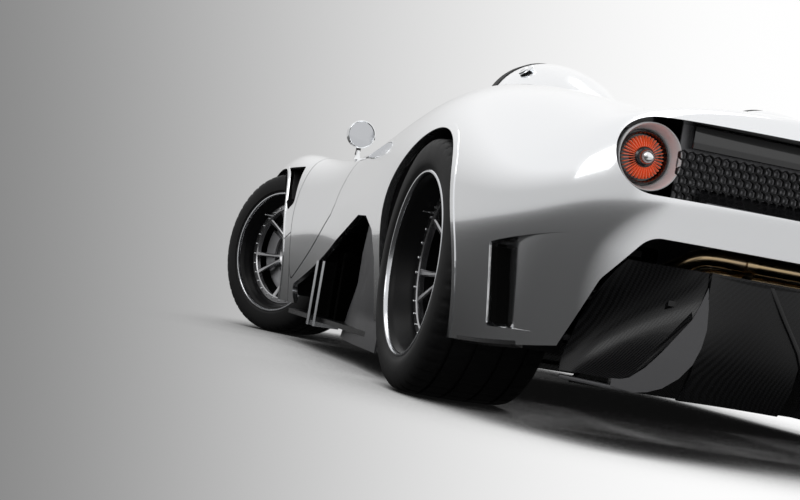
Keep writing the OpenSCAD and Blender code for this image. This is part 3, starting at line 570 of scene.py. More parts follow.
def set_lights():
    area_light("key", (-0.5, -4.6, 5.2), (0, 0, 0.4), (5.0, 3.0), 190)
    area_light("top", (0.5, 0.6, 5.5), (0, 0, 0), (6.5, 2.6), 90)
    area_light("fill", (-4.0, 5.5, 3.2), (0, 0, 0.5), (4.0, 2.0), 45)


bpy.context.scene.view_settings.view_transform = "Standard"
set_camera()
set_stage()
set_world()
set_lights()


# ---------------------------------------------------------------- body panels
DOOR_FRONT, DOOR_REAR, CORNER_R = 1980, 1277, 24
DOOR = [(DOOR_REAR, 800), (1345, 550), (1374, 522), (1965, 274), (DOOR_FRONT, 305), (DOOR_FRONT, 800)]
INTAKE = [(1800, 60), (1905, 200), (1186, 383), (790, 462), (645, 458), (545, 420), (512, 350), (530, 60)]
VENT = [(2370, 690), (2110, 540), (2060, 560), (2120, 690)]
CORNER = [(-606, 415), (-598, 240), (-737, 246), (-835, 455)]
TAIL_OPENING = [(670, 430), (726, 352), (768, 205), (768, 60)]
SPLIT_X = DOOR_FRONT + CORNER_R + PANEL_GAP
COWL_X, COCKPIT_BACK, RAIL_Y, COCKPIT_W = 1800, 800, 722, 610
HINGE = (DOOR_FRONT + CORNER_R, 942)
DOOR_REACH = HINGE[0] - DOOR_REAR + CORNER_R
LID = [(x, y) for x in (2360, 3030) for y in (-330, 330)]
COVER = [(x, y) for x in (-660, 50) for y in (-310, 310)]
SLOT = [(-LAMP_Y, LAMP_Z), (LAMP_Y, LAMP_Z)]
SLOT_R = 88
FINE = 0.1
US, VS = span(0, LAST, FINE), span(0, 8, FINE)


def sheet_mesh(us, vs, whole, thick, lift=0.0):
    """Closed shell over a patch of the body; both halves share their points on the middle line."""
    full = np.concatenate([-vs[::-1][:-1], vs]) if whole else vs
    U, V = np.meshgrid(us, full, indexing="ij")
    p, n = skin_points(U, np.abs(V)), skin_normals(U, np.abs(V))
    side = np.where(V < 0, -1.0, 1.0)
    p[..., 1] *= side
    n[..., 1] *= side
    m, k = U.shape
    idx = np.arange(m * k).reshape(m, k)
    if whole:
        for row, u in ((0, 0), (m - 1, LAST)):
            if us[row] == u:
                half = k // 2
                idx[row, :half] = idx[row, ::-1][:half]
    outer = (p + lift * n).reshape(-1, 3)
    inner = outer - (np.asarray(thick, float) if np.ndim(thick) else thick * n.reshape(-1, 3))
    t = m * k
    faces = []
    for i in range(m - 1):
        for j in range(k - 1):
            faces.append((idx[i, j], idx[i + 1, j], idx[i + 1, j + 1], idx[i, j + 1]))
    edges = set()
    for f in faces:
        for a, b in zip(f, f[1:] + f[:1]):
            edges.add((a, b))
    walls = [(b, a, t + a, t + b) for a, b in edges if (b, a) not in edges]
    inside = [tuple(t + q for q in f[::-1]) for f in faces]
    verts = np.concatenate([outer, inner])
    used = np.zeros(len(verts), int) - 1
    keep = np.unique(np.array(faces + inside + walls).ravel())
    used[keep] = np.arange(len(keep))
    return verts[keep], [tuple(int(used[q]) for q in f) for f in faces + inside + walls]


class Skin:
    """The body's outer face, to look up its points and normals."""
    def __init__(self):
        U, V = np.meshgrid(US, VS, indexing="ij")
        p, n = skin_points(U, V), skin_normals(U, V)
        m, k = U.shape
        a, b = world(p.reshape(-1, 3)), n.reshape(-1, 3)
        flip = np.array([1, -1, 1])
        self.points = np.concatenate([a, a * flip])
        self.normals = np.concatenate([b, b * flip])
        f = grid_faces(m, k)
        self.faces = f + [tuple(q + m * k for q in g)[::-1] for g in f]
        self.tree = BVHTree.FromPolygons([Vector(q) for q in self.points], self.faces)

    def normal(self, co, index):
        """Normal at a point, blended over its face."""
        from mathutils.interpolate import poly_3d_calc
        f = self.faces[index]
        w = poly_3d_calc([Vector(self.points[q]) for q in f], co)
        n = np.array(w) @ self.normals[list(f)]
        return n / np.linalg.norm(n)

    def ray(self, origin, direction):
        """Where a ray in millimetres meets the body, and the normal there."""
        co, _, index, _ = self.tree.ray_cast(Vector(world(origin)), Vector(direction))
        if co is None:
            return None, None
        return np.array(co) * 1000 - np.array([REAR_AXLE, 0, 0]), self.normal(co, index)


SKIN = Skin()


def smooth_skin(ob, lift=0.0):
    """Takes the true normals of the body for what is left of its outer face, and flat ones elsewhere."""
    me = ob.data
    count = len(me.vertices)
    found = [None] * count
    tol = 0.00025
    for i, v in enumerate(me.vertices):
        co, _, index, dist = SKIN.tree.find_nearest(v.co)
        if co is not None and abs(dist - lift / 1000) < tol:
            found[i] = SKIN.normal(co, index)
    normals = []
    for p in me.polygons:
        p.use_smooth = True
        flat = np.array(p.normal)
        for q in p.vertices:
            n = found[q]
            normals.append(n if n is not None and n @ flat > 0.9 else flat)
    me.normals_split_custom_set([tuple(n) for n in normals])


def box_cut(x0, x1, y0, y1, z0, z1):
    return prism("cutter", [(x0, y0), (x1, y0), (x1, y1), (x0, y1)], "z", z0, z1)


def pair(mesh):
    return make("cutter", *both(mesh))


def cylinder_y(x, z, r, y0, y1, n=160):
    return prism_mesh(rounded([(x, z)], r, n), "y", y0, y1)


def front_arch(r, y0, y1):
    return prism_mesh(rounded([(WHEELBASE - 22, FRONT_R), (WHEELBASE + 22, FRONT_R)], r, 160), "y", y0, y1)


def door_outline(inset, y0, y1, z0=0, z1=1300):
    ob = prism("cutter", rounded(DOOR, CORNER_R - inset), "y", y0, y1)
    arc = prism("arc", rounded([HINGE], DOOR_REACH - inset, 360), "z", z0, z1)
    return cut(ob, arc, "INTERSECT")


def both_doors(inset, y0, y1):
    one = door_outline(inset, y0, y1)
    v = [np.array(q.co) * 1000 - np.array([REAR_AXLE, 0, 0]) for q in one.data.vertices]
    f = [tuple(p.vertices) for p in one.data.polygons]
    bpy.data.objects.remove(one)
    return pair((np.array(v), f))


def lamp_socket(r, a, b, n=64):
    """Cylinder along the headlamp's axis, from a to b ahead of its middle."""
    v, f = prism_mesh(rounded([(0, 0)], r, n), "z", a, b)
    tilt, turn = math.radians(78), math.radians(12)
    m = Matrix.Rotation(turn, 3, "Z") @ Matrix.Rotation(tilt, 3, "Y")
    return v @ np.array(m).T + np.array([2940, 620, 560]), f


def rear_panel():
    ob = make("rear_clam_skin", *sheet_mesh(span(0, 13.6, FINE), VS, True, SKIN_T))
    cut(ob, box_cut(-1200, SPLIT_X - PANEL_GAP, -1100, 1100, 0, 1200), "INTERSECT")
    cut(ob, box_cut(COWL_X - PANEL_GAP, COWL_X + 600, -RAIL_Y - 4, RAIL_Y + 4, 560, 1160))
    cut(ob, pair(cylinder_y(0, REAR_R, REAR_ARCH, 800, 1200)))
    cut(ob, pair(prism_mesh(rounded(INTAKE, 30), "y", 700, 1200)))
    cut(ob, pair(prism_mesh(rounded(CORNER, 12), "y", 740, 1200)))
    cut(ob, both_doors(-PANEL_GAP, RAIL_Y, 1200))
    opening = [(x, y) for x in (COCKPIT_BACK + 150, COWL_X + 200) for y in (-460, 460)]
    cut(ob, prism("cutter", rounded(opening, COCKPIT_W - 460), "z", 400, 1200))
    cut(ob, prism("cutter", rounded(SLOT, SLOT_R, 96), "x", -1300, -700))
    cut(ob, prism("cutter", rounded([(s * y, z) for s in (-1, 1) for y, z in TAIL_OPENING], 55), "x", -1300,
                  -540))
    cut(ob, prism("cutter", rounded(COVER, 40 + PANEL_GAP), "z", 500, 1200))
    smooth_skin(ob)
    return ob


def front_panel():
    ob = make("front_clam_skin", *sheet_mesh(span(12, LAST, FINE), VS, True, SKIN_T))
    keep = box_cut(SPLIT_X, 4000, -1100, 1100, 0, 1200)
    cowl = box_cut(COWL_X, COWL_X + 400, -RAIL_Y + 2, RAIL_Y - 2, 560, 1160)
    cut(keep, cowl, "UNION")
    cut(ob, keep, "INTERSECT")
    cut(ob, pair(front_arch(FRONT_ARCH, 790, 1200)))
    cut(ob, pair(prism_mesh(rounded(VENT, 18), "y", 800, 1200)))
    cut(ob, pair(lamp_socket(88, -200, 200)))
    mouth = rounded([(y, z) for y in (-500, 500) for z in (225, 330)], 45)
    cut(ob, prism("cutter", mouth, "x", 2900, 3500))
    cut(ob, prism("cutter", rounded(LID, 30 + PANEL_GAP), "z", 300, 1200))
    cut(ob, both_doors(-PANEL_GAP, RAIL_Y, 1200))
    smooth_skin(ob)
    return ob


def lid_panel(name, outline, r, z0):
    us = span(0, 9, FINE) if name == "engine_cover_skin" else span(13.5, 20, FINE)
    ob = make(name, *sheet_mesh(us, span(0, 4.5, FINE), True, SKIN_T))
    cut(ob, prism("cutter", rounded(outline, r), "z", z0, 1200), "INTERSECT")
    smooth_skin(ob)
    return ob


def door_panel(sign):
    ob = make("door_skin", *sheet_mesh(span(10, 14, FINE), span(2, 8, FINE), False, [0, SKIN_T, 12]))
    cut(ob, door_outline(0, RAIL_Y + 6, 1200), "INTERSECT")
    smooth_skin(ob)
    if sign < 0:
        mirror_object(ob)
    return ob


def mirror_object(ob):
    """Mirrors a piece to the right side, with its normals."""
    me = ob.data
    co = np.zeros(len(me.vertices) * 3)
    me.vertices.foreach_get("co", co)
    co = co.reshape(-1, 3)
    co[:, 1] *= -1
    me.vertices.foreach_set("co", co.ravel())
    me.flip_normals()
    me.update()
    smooth_skin(ob)


rear_skin = finish_piece(rear_panel(), "chassis", PAINT, "paint", ["rear_clam"])
front_skin = finish_piece(front_panel(), "chassis", PAINT, "paint", ["front_clam"])
finish_piece(lid_panel("engine_cover_skin", COVER, 40, 500), "engine_cover", PAINT, "paint", ["engine_cover"])
finish_piece(lid_panel("front_lid_skin", LID, 30, 300), "front_lid", PAINT, "paint", ["front_lid"])
for sign, side in ((1, "left"), (-1, "right")):
    door = door_panel(sign)
    door.name = "door_skin_" + side
    finish_piece(door, "door_" + side, PAINT, "paint")


# ---------------------------------------------------------------- simple solids
def outward(ob):
    bm = bmesh.new()
    bm.from_mesh(ob.data)
    bmesh.ops.recalc_face_normals(bm, faces=bm.faces)
    bm.to_mesh(ob.data)
    bm.free()
    return ob


def solid(name, mesh, angle=32):
    ob = outward(make(name, *mesh))
    shade(ob, angle)
    return ob


def loft(rings, closed=False):
    """Solid through rings that have the same number of points."""
    m, n = len(rings), len(rings[0])
    verts = np.concatenate([np.asarray(r, float) for r in rings])
    faces = []
    for i in range(m if closed else m - 1):
        a, b = i * n, ((i + 1) % m) * n
        faces += [(a + j, a + (j + 1) % n, b + (j + 1) % n, b + j) for j in range(n)]
    if not closed:
        faces += [tuple(range(n))[::-1], tuple(range((m - 1) * n, m * n))]
    return verts, faces


def lathe(loop, n=96, notch=None):
    """Ring from a closed loop of (y, r) points about the y axis."""
    rings = []
    for i in range(n):
        a = 2 * math.pi * i / n
        ring = []
        for y, r in loop:
            q = r - (notch(i, y, r) if notch else 0)
            ring.append((q * math.cos(a), y, q * math.sin(a)))
        rings.append(ring)
    return loft(rings, True)


def dish(curve, n=64):
    """Solid of revolution about the y axis, from (y, r) points that start and end on the axis."""
    verts, faces = [], []
    rows = []
    for y, r in curve:
        if r == 0:
            rows.append([len(verts)] * n)
            verts.append((0, y, 0))
        else:
            rows.append(list(range(len(verts), len(verts) + n)))
            verts += [(r * math.cos(2 * math.pi * i / n), y, r * math.sin(2 * math.pi * i / n)) for i in range(n)]
    for a, b in zip(rows, rows[1:]):
        for i in range(n):
            j = (i + 1) % n
            f = [a[i], a[j], b[j], b[i]]
            f = [q for k, q in enumerate(f) if q != f[k - 1]]
            if len(f) > 2:
                faces.append(tuple(f))
    return np.array(verts, float), faces


def tube(path, radius, n=16, closed=False):
    """Round tube along a path; radius is a number or one per point."""
    path = np.asarray(path, float)
    rs = np.broadcast_to(radius, len(path))
    if closed:
        tangents = np.roll(path, -1, 0) - np.roll(path, 1, 0)
    else:
        tangents = np.gradient(path, axis=0)
    tangents /= np.linalg.norm(tangents, axis=1, keepdims=True)
    side = np.cross(tangents[0], [0.0, 0.0, 1.0])
    if np.linalg.norm(side) < 0.1:
        side = np.cross(tangents[0], [0.0, 1.0, 0.0])
    rings = []
    for p, t, r in zip(path, tangents, rs):
        side = side - t * (side @ t)
        side /= np.linalg.norm(side)
        up = np.cross(t, side)
        rings.append([p + r * (math.cos(a) * side + math.sin(a) * up)
                      for a in np.linspace(0, 2 * math.pi, n, endpoint=False)])
    return loft(rings, closed)


def smooth_path(points, n=8):
    """Catmull-Rom curve through points."""
    p = np.asarray(points, float)
    p = np.concatenate([[2 * p[0] - p[1]], p, [2 * p[-1] - p[-2]]])
    out = []
    for i in range(1, len(p) - 2):
        for t in np.linspace(0, 1, n, endpoint=False):
            a, b, c, d = p[i - 1:i + 3]
            out.append(0.5 * (2 * b + (c - a) * t + (2 * a - 5 * b + 4 * c - d) * t * t
                              + (3 * b - a - 3 * c + d) * t ** 3))
    out.append(p[-2])
    return np.array(out)


def box_mesh(lo, hi):
    (x0, y0, z0), (x1, y1, z1) = lo, hi
    return prism_mesh([(x0, y0), (x1, y0), (x1, y1), (x0, y1)], "z", z0, z1)


def turned(mesh, axis, angle, centre=(0, 0, 0)):
    v, f = mesh
    m = np.array(Matrix.Rotation(angle, 3, axis))
    c = np.asarray(centre, float)
    return (np.asarray(v) - c) @ m.T + c, f


def moved(mesh, d):
    return np.asarray(mesh[0], float) + np.asarray(d, float), mesh[1]


def bevel(ob, width, segments=2, angle=35):
    """Rounds the sharp edges of a piece by a width in millimetres."""
    mod = ob.modifiers.new("bevel", "BEVEL")
    mod.width, mod.segments, mod.limit_method = width / 1000, segments, "ANGLE"
    mod.angle_limit = math.radians(angle)
    dg = bpy.context.evaluated_depsgraph_get()
    dg.update()
    me = bpy.data.meshes.new_from_object(ob.evaluated_get(dg))
    ob.modifiers.clear()
    old, ob.data = ob.data, me
    bpy.data.meshes.remove(old)
    shade(ob, 40)
    return ob


# ---------------------------------------------------------------- wheels
CORNERS = {
    "fl": (WHEELBASE, FRONT_TRACK, FRONT_R, 1, STEER), "fr": (WHEELBASE, -FRONT_TRACK, FRONT_R, -1, STEER),
    "rl": (0, REAR_TRACK, REAR_R, 1, 0), "rr": (0, -REAR_TRACK, REAR_R, -1, 0)}


def at_wheel(mesh, corner):
    """From a wheel's own frame, with +y outboard, to its place on the car."""
    x, y, z, side, steer = CORNERS[corner]
    if side < 0:
        mesh = mirrored(*mesh)
    return moved(turned(mesh, "Z", steer), (x, y, z))


def tyre_mesh(w, r):
    grooves = [-0.30, -0.11, 0.11, 0.30]
    crown = [(-0.41 * w, r - 5)]
    for g in grooves:
        top = r - 4 * (g / 0.41) ** 2
        crown += [(g * w - 5, top), (g * w - 3.5, top - 7), (g * w + 3.5, top - 7), (g * w + 5, top)]
    crown += [(0.41 * w, r - 5)]
    crown.insert(9, (0, r))
    wall = [(0.445 * w, r - 9), (0.47 * w, r - 18), (0.487 * w, r - 32), (0.4965 * w, r - 50), (0.499 * w, r - 64),
            (0.4965 * w, r - 76), (0.488 * w, BEAD_R + 18), (0.480 * w, BEAD_R + 14), (0.476 * w, BEAD_R + 9),
            (0.462 * w, BEAD_R + 3)]
    inner = [(0.43 * w, BEAD_R + 1), (0.43 * w, BEAD_R + 16), (0.455 * w, r - 66), (0.43 * w, r - 26)]
    right = wall + inner
    loop = crown + right + [(-y, q) for y, q in right[::-1]]

    def notch(i, y, q):
        a = abs(y) / w
        if q < r - 14:
            return 0.0
        if 0.315 < a < 0.475:
            return 5.0 if i % 6 < 1 else 0.0
        if a < 0.29 and q > r - 6:
            return 2.5 if (i + 3) % 6 < 1 else 0.0
        return 0.0
    return lathe(loop, 288, notch)


def spoke_mesh(a0, a1, y0, y1, r0, r1):
    """One arm of a twin spoke, from the hub to the bolt ring."""
    rings = []
    for t in np.linspace(0, 1, 7):
        r = r0 + (r1 - r0) * t
        a = math.radians(a0 + (a1 - a0) * t ** 0.8)
        y = y0 + (y1 - y0) * t ** 1.6
        w, d = 9.5 - 3.0 * math.sin(t * math.pi) + 1.5 * t, 30 - 10 * t
        tang = np.array([-math.sin(a), 0, math.cos(a)])
        c = np.array([r * math.cos(a), 0, r * math.sin(a)])
        ring = [c + s * tang + np.array([0, y + h, 0]) for s, h in
                ((-w, -d), (-w, -4), (-w + 4, 0), (w - 4, 0), (w, -4), (w, -d))]
        rings.append(ring)
    return loft(rings)


def wheel_parts(w, dish_depth, r):
    yo = 0.463 * w
    face = yo - dish_depth
    parts = {}
    parts["lip"] = (lathe([(yo, BEAD_R + 9), (yo + 4, BEAD_R + 8), (yo + 6, BEAD_R + 5), (yo + 6, BEAD_R + 1),
                           (yo + 3, BEAD_R - 1), (yo - 6, BEAD_R - 2), (yo - 12, BEAD_R - 3), (yo - 13, BEAD_R + 1),
                           (yo - 12, BEAD_R + 4)], 128), POLISHED)
    parts["barrel"] = (lathe([(yo - 5, BEAD_R - 3.5), (yo - 9, BEAD_R - 9), (yo - 20, BEAD_R - 16), (face + 26, BEAD_R - 22),
                              (face + 20, BEAD_R - 27), (face + 4, BEAD_R - 30), (face - 6, BEAD_R - 31),
                              (-0.30 * w, BEAD_R - 30), (-0.44 * w, BEAD_R - 12), (-0.465 * w, BEAD_R + 7),
                              (-0.455 * w, BEAD_R + 9), (-0.43 * w, BEAD_R - 2), (-0.30 * w, BEAD_R - 22),
                              (face + 6, BEAD_R - 22), (yo - 16, BEAD_R - 5), (yo - 7, BEAD_R - 3.2)], 128),
                       BARREL)
    ring = lathe([(face + 2, 222), (face + 5, 219), (face + 5, 199), (face + 2, 195), (face - 16, 195),
                  (face - 16, 222)], 128)
    arms = []
    for k in range(5):
        mid = -90 + 72 * k
        for s in (-1, 1):
            arms.append(spoke_mesh(mid + s * 5.5, mid + s * 12.5, face - 26, face + 4, 58, 202))
    parts["centre"] = (joined([ring] + arms), SPOKES)
    hub = dish([(face - 60, 0), (face - 60, 70), (face - 22, 74), (face - 20, 71), (face - 24, 64), (face - 36, 46),
                (face - 42, 30), (face - 43, 0)], 72)
    parts["hub"] = (hub, SPOKES)
    nut = joined([dish([(face - 42, 0), (face - 42, 23), (face - 22, 23), (face - 18, 19), (face - 10, 17),
                        (face - 7, 12), (face - 6, 0)], 6),
                  lathe([(face - 42, 28), (face - 39, 28), (face - 37, 24), (face - 42, 24)], 48)])
    parts["nut"] = (nut, CHROME)
    bolts = []
    for i in range(30):
        a = 2 * math.pi * (i + 0.5) / 30
        one = dish([(face + 3, 0), (face + 3, 4.2), (face + 9, 4.2), (face + 10.5, 3), (face + 10.5, 0)], 6)
        bolts.append(moved(one, (208 * math.cos(a), 0, 208 * math.sin(a))))
    valve = dish([(face + 2, 0), (face + 2, 3.5), (face + 34, 3.0), (face + 35, 0)], 10)
    bolts.append(moved(valve, (214 * math.cos(0.8), 0, 214 * math.sin(0.8))))
    parts["bolts"] = (joined(bolts), CHROME)
    disc = lathe([(-8, 175), (10, 175), (10, 112), (-8, 112)], 96)
    hat = dish([(face - 60, 0), (face - 60, 78), (4, 112), (-6, 112), (-6, 60), (-6, 0)], 64)
    parts["disc"] = (joined([disc, hat]), STEEL)
    return parts


BARREL = material("rim_barrel", (0.006, 0.006, 0.0065), 0.34, 0.0, 0.0, grain(400, 0.1, 0.04),
                  Specular_IOR_Level=0.12)
SPOKES = material("rim_spokes", (0.36, 0.36, 0.37), 0.18, 0.95, 0.3, grain(500, 0.1, 0.05))
for corner, (cx, cy, cz, side, _) in CORNERS.items():
    front = corner[0] == "f"
    width, radius, depth = (FRONT_W, FRONT_R, 60) if front else (REAR_W, REAR_R, 78)
    body = "wheel_" + corner
    ty = solid("tyre_tread_" + corner, at_wheel(tyre_mesh(width, radius), corner), 50)
    finish_piece(ty, body, RUBBER, "tyre", ["tyre_" + corner])
    for part, (mesh, mat) in wheel_parts(width, depth, radius).items():
        piece = solid("rim_%s_%s" % (part, corner), at_wheel(mesh, corner), 30)
        finish_piece(piece, body, mat, "polished", ["rim_" + corner] if part == "lip" else ())
    # Caliper on the upright or knuckle, behind the spokes
    sweep = np.radians(np.linspace(150, 205, 9) if not front else np.linspace(-25, 30, 9))
    rings = [[(r * math.cos(a), y, r * math.sin(a)) for y, r in
              ((-24, 120), (-24, 176), (-18, 184), (18, 184), (24, 176), (24, 120), (13, 120), (13, 179), (-11, 179),
               (-11, 120))] for a in sweep]
    caliper = solid("caliper_" + corner, at_wheel(loft(rings), corner))
    holder = ("knuckle_left" if side > 0 else "knuckle_right") if front else "chassis"
    finish_piece(caliper, holder, CALIPER, "cast")


# ---------------------------------------------------------------- arch lips and corner vents
def lifted_band(name, cutter_out, cutter_in, us, vs, lift, thick, body="chassis"):
    """Raised rim: what lies between two outlines, on a shell lifted off the body."""
    parts = sheet_mesh(us, vs, False, thick, lift)
    ob = make(name, *both(parts))
    cut(ob, cutter_out, "INTERSECT")
    cut(ob, cutter_in)
    smooth_skin(ob, lift)
    return ob


rear_lip = lifted_band("arch_lip_rear", pair(cylinder_y(0, REAR_R, REAR_ARCH + 20, 780, 1200)),
                       pair(cylinder_y(0, REAR_R, REAR_ARCH + 0.5, 770, 1210)), span(4, 10, FINE), span(3.4, 8, FINE),
                       2.2, 6)
finish_piece(rear_lip, "chassis", PAINT, "paint")
front_lip = lifted_band("arch_lip_front", pair(front_arch(FRONT_ARCH + 14, 780, 1200)),
                        pair(front_arch(FRONT_ARCH + 0.5, 770, 1210)), span(13.3, 18.3, FINE), span(3.4, 8, FINE),
                        2.0, 6)
cut(front_lip, box_cut(1200, SPLIT_X + 1, -1300, 1300, 0, 1400))
finish_piece(front_lip, "chassis", PAINT, "paint")


def side_point(x, z):
    """Point and outward normal of the body's left side at x and z."""
    for lift in range(0, 80, 4):
        p, n = SKIN.ray((x, 1400, z + lift), (0, -1, 0))
        if p is not None:
            return p, n
    return None, None


def recess(name, outline, grow, depth_at, mat, slot, body="chassis", steps=26):
    """Tray behind a hole in the side: depth_at(x, z) is how far its floor lies inside the skin."""
    xs = [q[0] for q in outline]
    zs = [q[1] for q in outline]
    g = grow + 14
    X = np.linspace(min(xs) - g, max(xs) + g, steps)
    Z = np.linspace(min(zs) - g, max(zs) + g, steps)
    floor_pts, top_pts, under_pts = [], [], []
    for x in X:
        for z in Z:
            p, n = side_point(x, z)
            if p is None:
                p, n = np.array([x, 700.0, z]), np.array([0, 1.0, 0])
            d = depth_at(x, z)
            floor_pts.append((x, p[1] - d, z))
            top_pts.append((x, p[1] + 60, z))
            under_pts.append((x, p[1] - d - 9, z))
    m = n_ = steps
    f_low = grid_faces(m, n_)
    def between(low, high):
        verts = low + high
        t = len(low)
        faces = [tuple(q) for q in f_low] + [tuple(t + q for q in g_[::-1]) for g_ in f_low]
        edges = {(a, b) for f in f_low for a, b in zip(f, f[1:] + f[:1])}
        faces += [(b, a, t + a, t + b) for a, b in edges if (b, a) not in edges]
        return np.array(verts, float), faces
    skin_under = []
    for (x, y, z), (_, yu, _) in zip(top_pts, under_pts):
        skin_under.append((x, y - 60 - 1.0, z))
    tray = outward(pair(between(under_pts, skin_under)))
    tray.name = name
    cut(tray, pair(prism_mesh(rounded(outline, 12 + grow), "y", 300, 1300)), "INTERSECT")
    void = outward(pair(between(floor_pts, top_pts)))
    cut(void, pair(prism_mesh(rounded(outline, 12), "y", 290, 1310)), "INTERSECT")
    cut(tray, void)
    shade(tray, 30)
    return finish_piece(tray, body, mat, slot)


def corner_depth(x, z):
    """Deep at the front edge, level with the skin at the rear."""
    rear = -749 - (z - 246) * 0.47
    s = min(max((x - rear) / (-600 - rear), 0.0), 1.0)
    return 1.5 + 44 * s ** 1.7


recess("corner_scoop", CORNER, 0.3, corner_depth, PAINT, "paint", steps=34)
# The slot at its front edge is filled with a near-black block: painted shade for the open slot
slot_rings = []
for z in np.linspace(238, 416, 12):
    y = side_point(-606, z)[0][1]
    slot_rings.append([(x, q, z) for x, q in ((-597, y - 4), (-610, y - 12), (-622, y - 39), (-622, y - 46),
                                              (-597, y - 46))])
finish_piece(solid("corner_slot", both(loft(slot_rings)), 30), "chassis", PAINTED_SHADE, "plastic")


# Front fender vent: near-black box behind the opening, that faces rearwards, as painted shade inside the vent
def vent_depth(x, z):
    return 70.0


recess("fender_vent_box", [(q[0], q[1]) for q in VENT], 6, vent_depth, PAINTED_SHADE, "plastic", steps=16)


# ---------------------------------------------------------------- tail lamps
def at_tail(mesh, x):
    """From a lamp's own frame, whose -y looks rearwards, to the left tail lamp."""
    v, f = mesh
    v = np.asarray(v, float)
    return np.stack([x + v[:, 1], LAMP_Y + v[:, 0], LAMP_Z + v[:, 2]], -1), f


def tail_lamp():
    cup = lathe([(-6, 78), (-9, 76.5), (-9, 74.5), (-6, 73), (8, 70), (26, 66), (44, 62), (70, 61), (70, 70),
                 (20, 76)], 96)
    back = dish([(46, 0), (46, 62.5), (54, 62.5), (54, 0)], 72)
    bore = lathe([(34, 60), (30, 60), (28, 57), (34, 54), (45, 53), (45, 60)], 72)
    fins = []
    for i in range(36):
        a = 2 * math.pi * i / 36
        fins.append(turned(joined([loft([[(r, y + dy, s * w) for dy, s in ((0, -1), (0, 1), (13, 1), (13, -1))]
                    for r, y, w in ((23.6, 24, 0.55), (34, 26, 0.8), (49, 30, 1.1))])]), "Y", a))
    lens_bed = lathe([(40, 51), (40, 24), (45, 24), (45, 51)], 72)
    hub = lathe([(22, 23.5), (20, 21), (22, 17), (44, 17), (44, 23.5)], 48)
    bulb = dish([(44, 0), (44, 16.5), (8, 16.5), (0, 14), (-6, 8), (-7, 0)], 40)
    # The cup is chrome; its white is a painted reflection
    return {"tail_cup": (cup, WHITE_PRINT_AND_PAINTED_REFLECTION), "tail_back": (joined([back, bore]), BLACK),
            "tail_bed": (lens_bed, BLACK), "tail_fins": (joined(fins), RED), "tail_hub": (hub, BLACK), "tail_bulb": (bulb, CHROME)}


for name, (mesh, mat) in tail_lamp().items():
    ob = solid(name, both(at_tail(mesh, -868)), 40)
    swap = {"tail_cup": ["taillight_bezels"], "tail_fins": ["taillight_lenses"]}.get(name, ())
    finish_piece(ob, "chassis", mat, {"tail_fins": "red_lens", "tail_cup": "polished",
                                      "tail_bulb": "lamp"}.get(name, "plastic"), swap)


# ---------------------------------------------------------------- recess of the tail, with its mesh
def slot_wall():
    ob = prism("tail_recess", rounded(SLOT, SLOT_R + 9, 96), "x", -1050, -770)
    cut(ob, prism("cutter", rounded(SLOT, SLOT_R - 0.4, 96), "x", -1060, -782))
    trim = make("cutter", *sheet_mesh(span(0, 6, FINE), span(0, 8, FINE), True, [-520, 0, 0], -1.2))
    cut(ob, trim, "INTERSECT", "EXACT")
    shade(ob, 35)
    return ob


finish_piece(slot_wall(), "chassis", BLACK, "plastic")


def hex_mesh(pitch, y_max, z0, z1, x0, x1, bar):
    """Net of hexagonal cells: six bars a cell, shared with its neighbours, as one extruded plate with holes."""
    verts, faces = [], []
    rows = int((z1 - z0) / (pitch * 0.866)) + 1
    cols = int(2 * y_max / pitch) + 1
    r_out, r_in = pitch / math.sqrt(3), (pitch - bar) / math.sqrt(3)
    for j in range(rows + 1):
        for k in range(-cols // 2 - 1, cols // 2 + 2):
            cy = (k + (0.5 if j % 2 else 0)) * pitch
            cz = z0 + j * pitch * 0.866
            if abs(cy) > y_max or cz > z1:
                continue
            base = len(verts)
            for x in (x0, x1):
                for r in (r_out, r_in):
                    for i in range(6):
                        a = math.pi / 6 + i * math.pi / 3
                        verts.append((x, cy + r * math.cos(a), cz + r * math.sin(a)))
            for i in range(6):
                n = (i + 1) % 6
                o0, o1 = base + i, base + n
                i0, i1 = base + 6 + i, base + 6 + n
                p0, p1 = base + 12 + i, base + 12 + n
                q0, q1 = base + 18 + i, base + 18 + n
                faces += [(o0, o1, i1, i0), (i0, i1, q1, q0), (q0, q1, p1, p0), (p0, p1, o1, o0)]
    return np.array(verts), faces


net = solid("tail_mesh", hex_mesh(21.5, 640, LAMP_Z - 76, LAMP_Z + 30, -884, -874, 3.6), 20)
finish_piece(net, "chassis", MATT, "plastic", ["rear_grille"])
# Dished grey pads that show through the cells
pads = []
for j in range(6):
    for k in range(-31, 32):
        cy, cz = (k + (0.5 if j % 2 else 0)) * 21.5, LAMP_Z - 76 + j * 21.5 * 0.866
        if abs(cy) < 636 and cz < LAMP_Z + 30:
            pads.append(moved(turned(dish([(0, 0), (0, 8.6), (-3, 7.5), (-4.5, 4.5), (-5, 0)], 8), "Z",
                                     -math.pi / 2), (-868, cy, cz)))
plate = box_mesh((-868, -640, LAMP_Z - 88), (-862, 640, LAMP_Z + 88))
finish_piece(solid("tail_mesh_pads", joined(pads + [plate]), 40), "chassis", MESH_GREY, "plastic")
hood = box_mesh((-896, -622, LAMP_Z + 34), (-872, 622, LAMP_Z + 86))
finish_piece(bevel(outward(make("tail_mesh_hood", *hood)), 3), "chassis", BLACK, "plastic")
ledge = prism_mesh([(-874, LAMP_Z - 50), (-874, LAMP_Z - 87), (-932, LAMP_Z - 87), (-932, LAMP_Z - 83)], "y", -585, 585)
finish_piece(outward(make("tail_mesh_ledge", *ledge)), "chassis", DARK_ALLOY, "plastic")


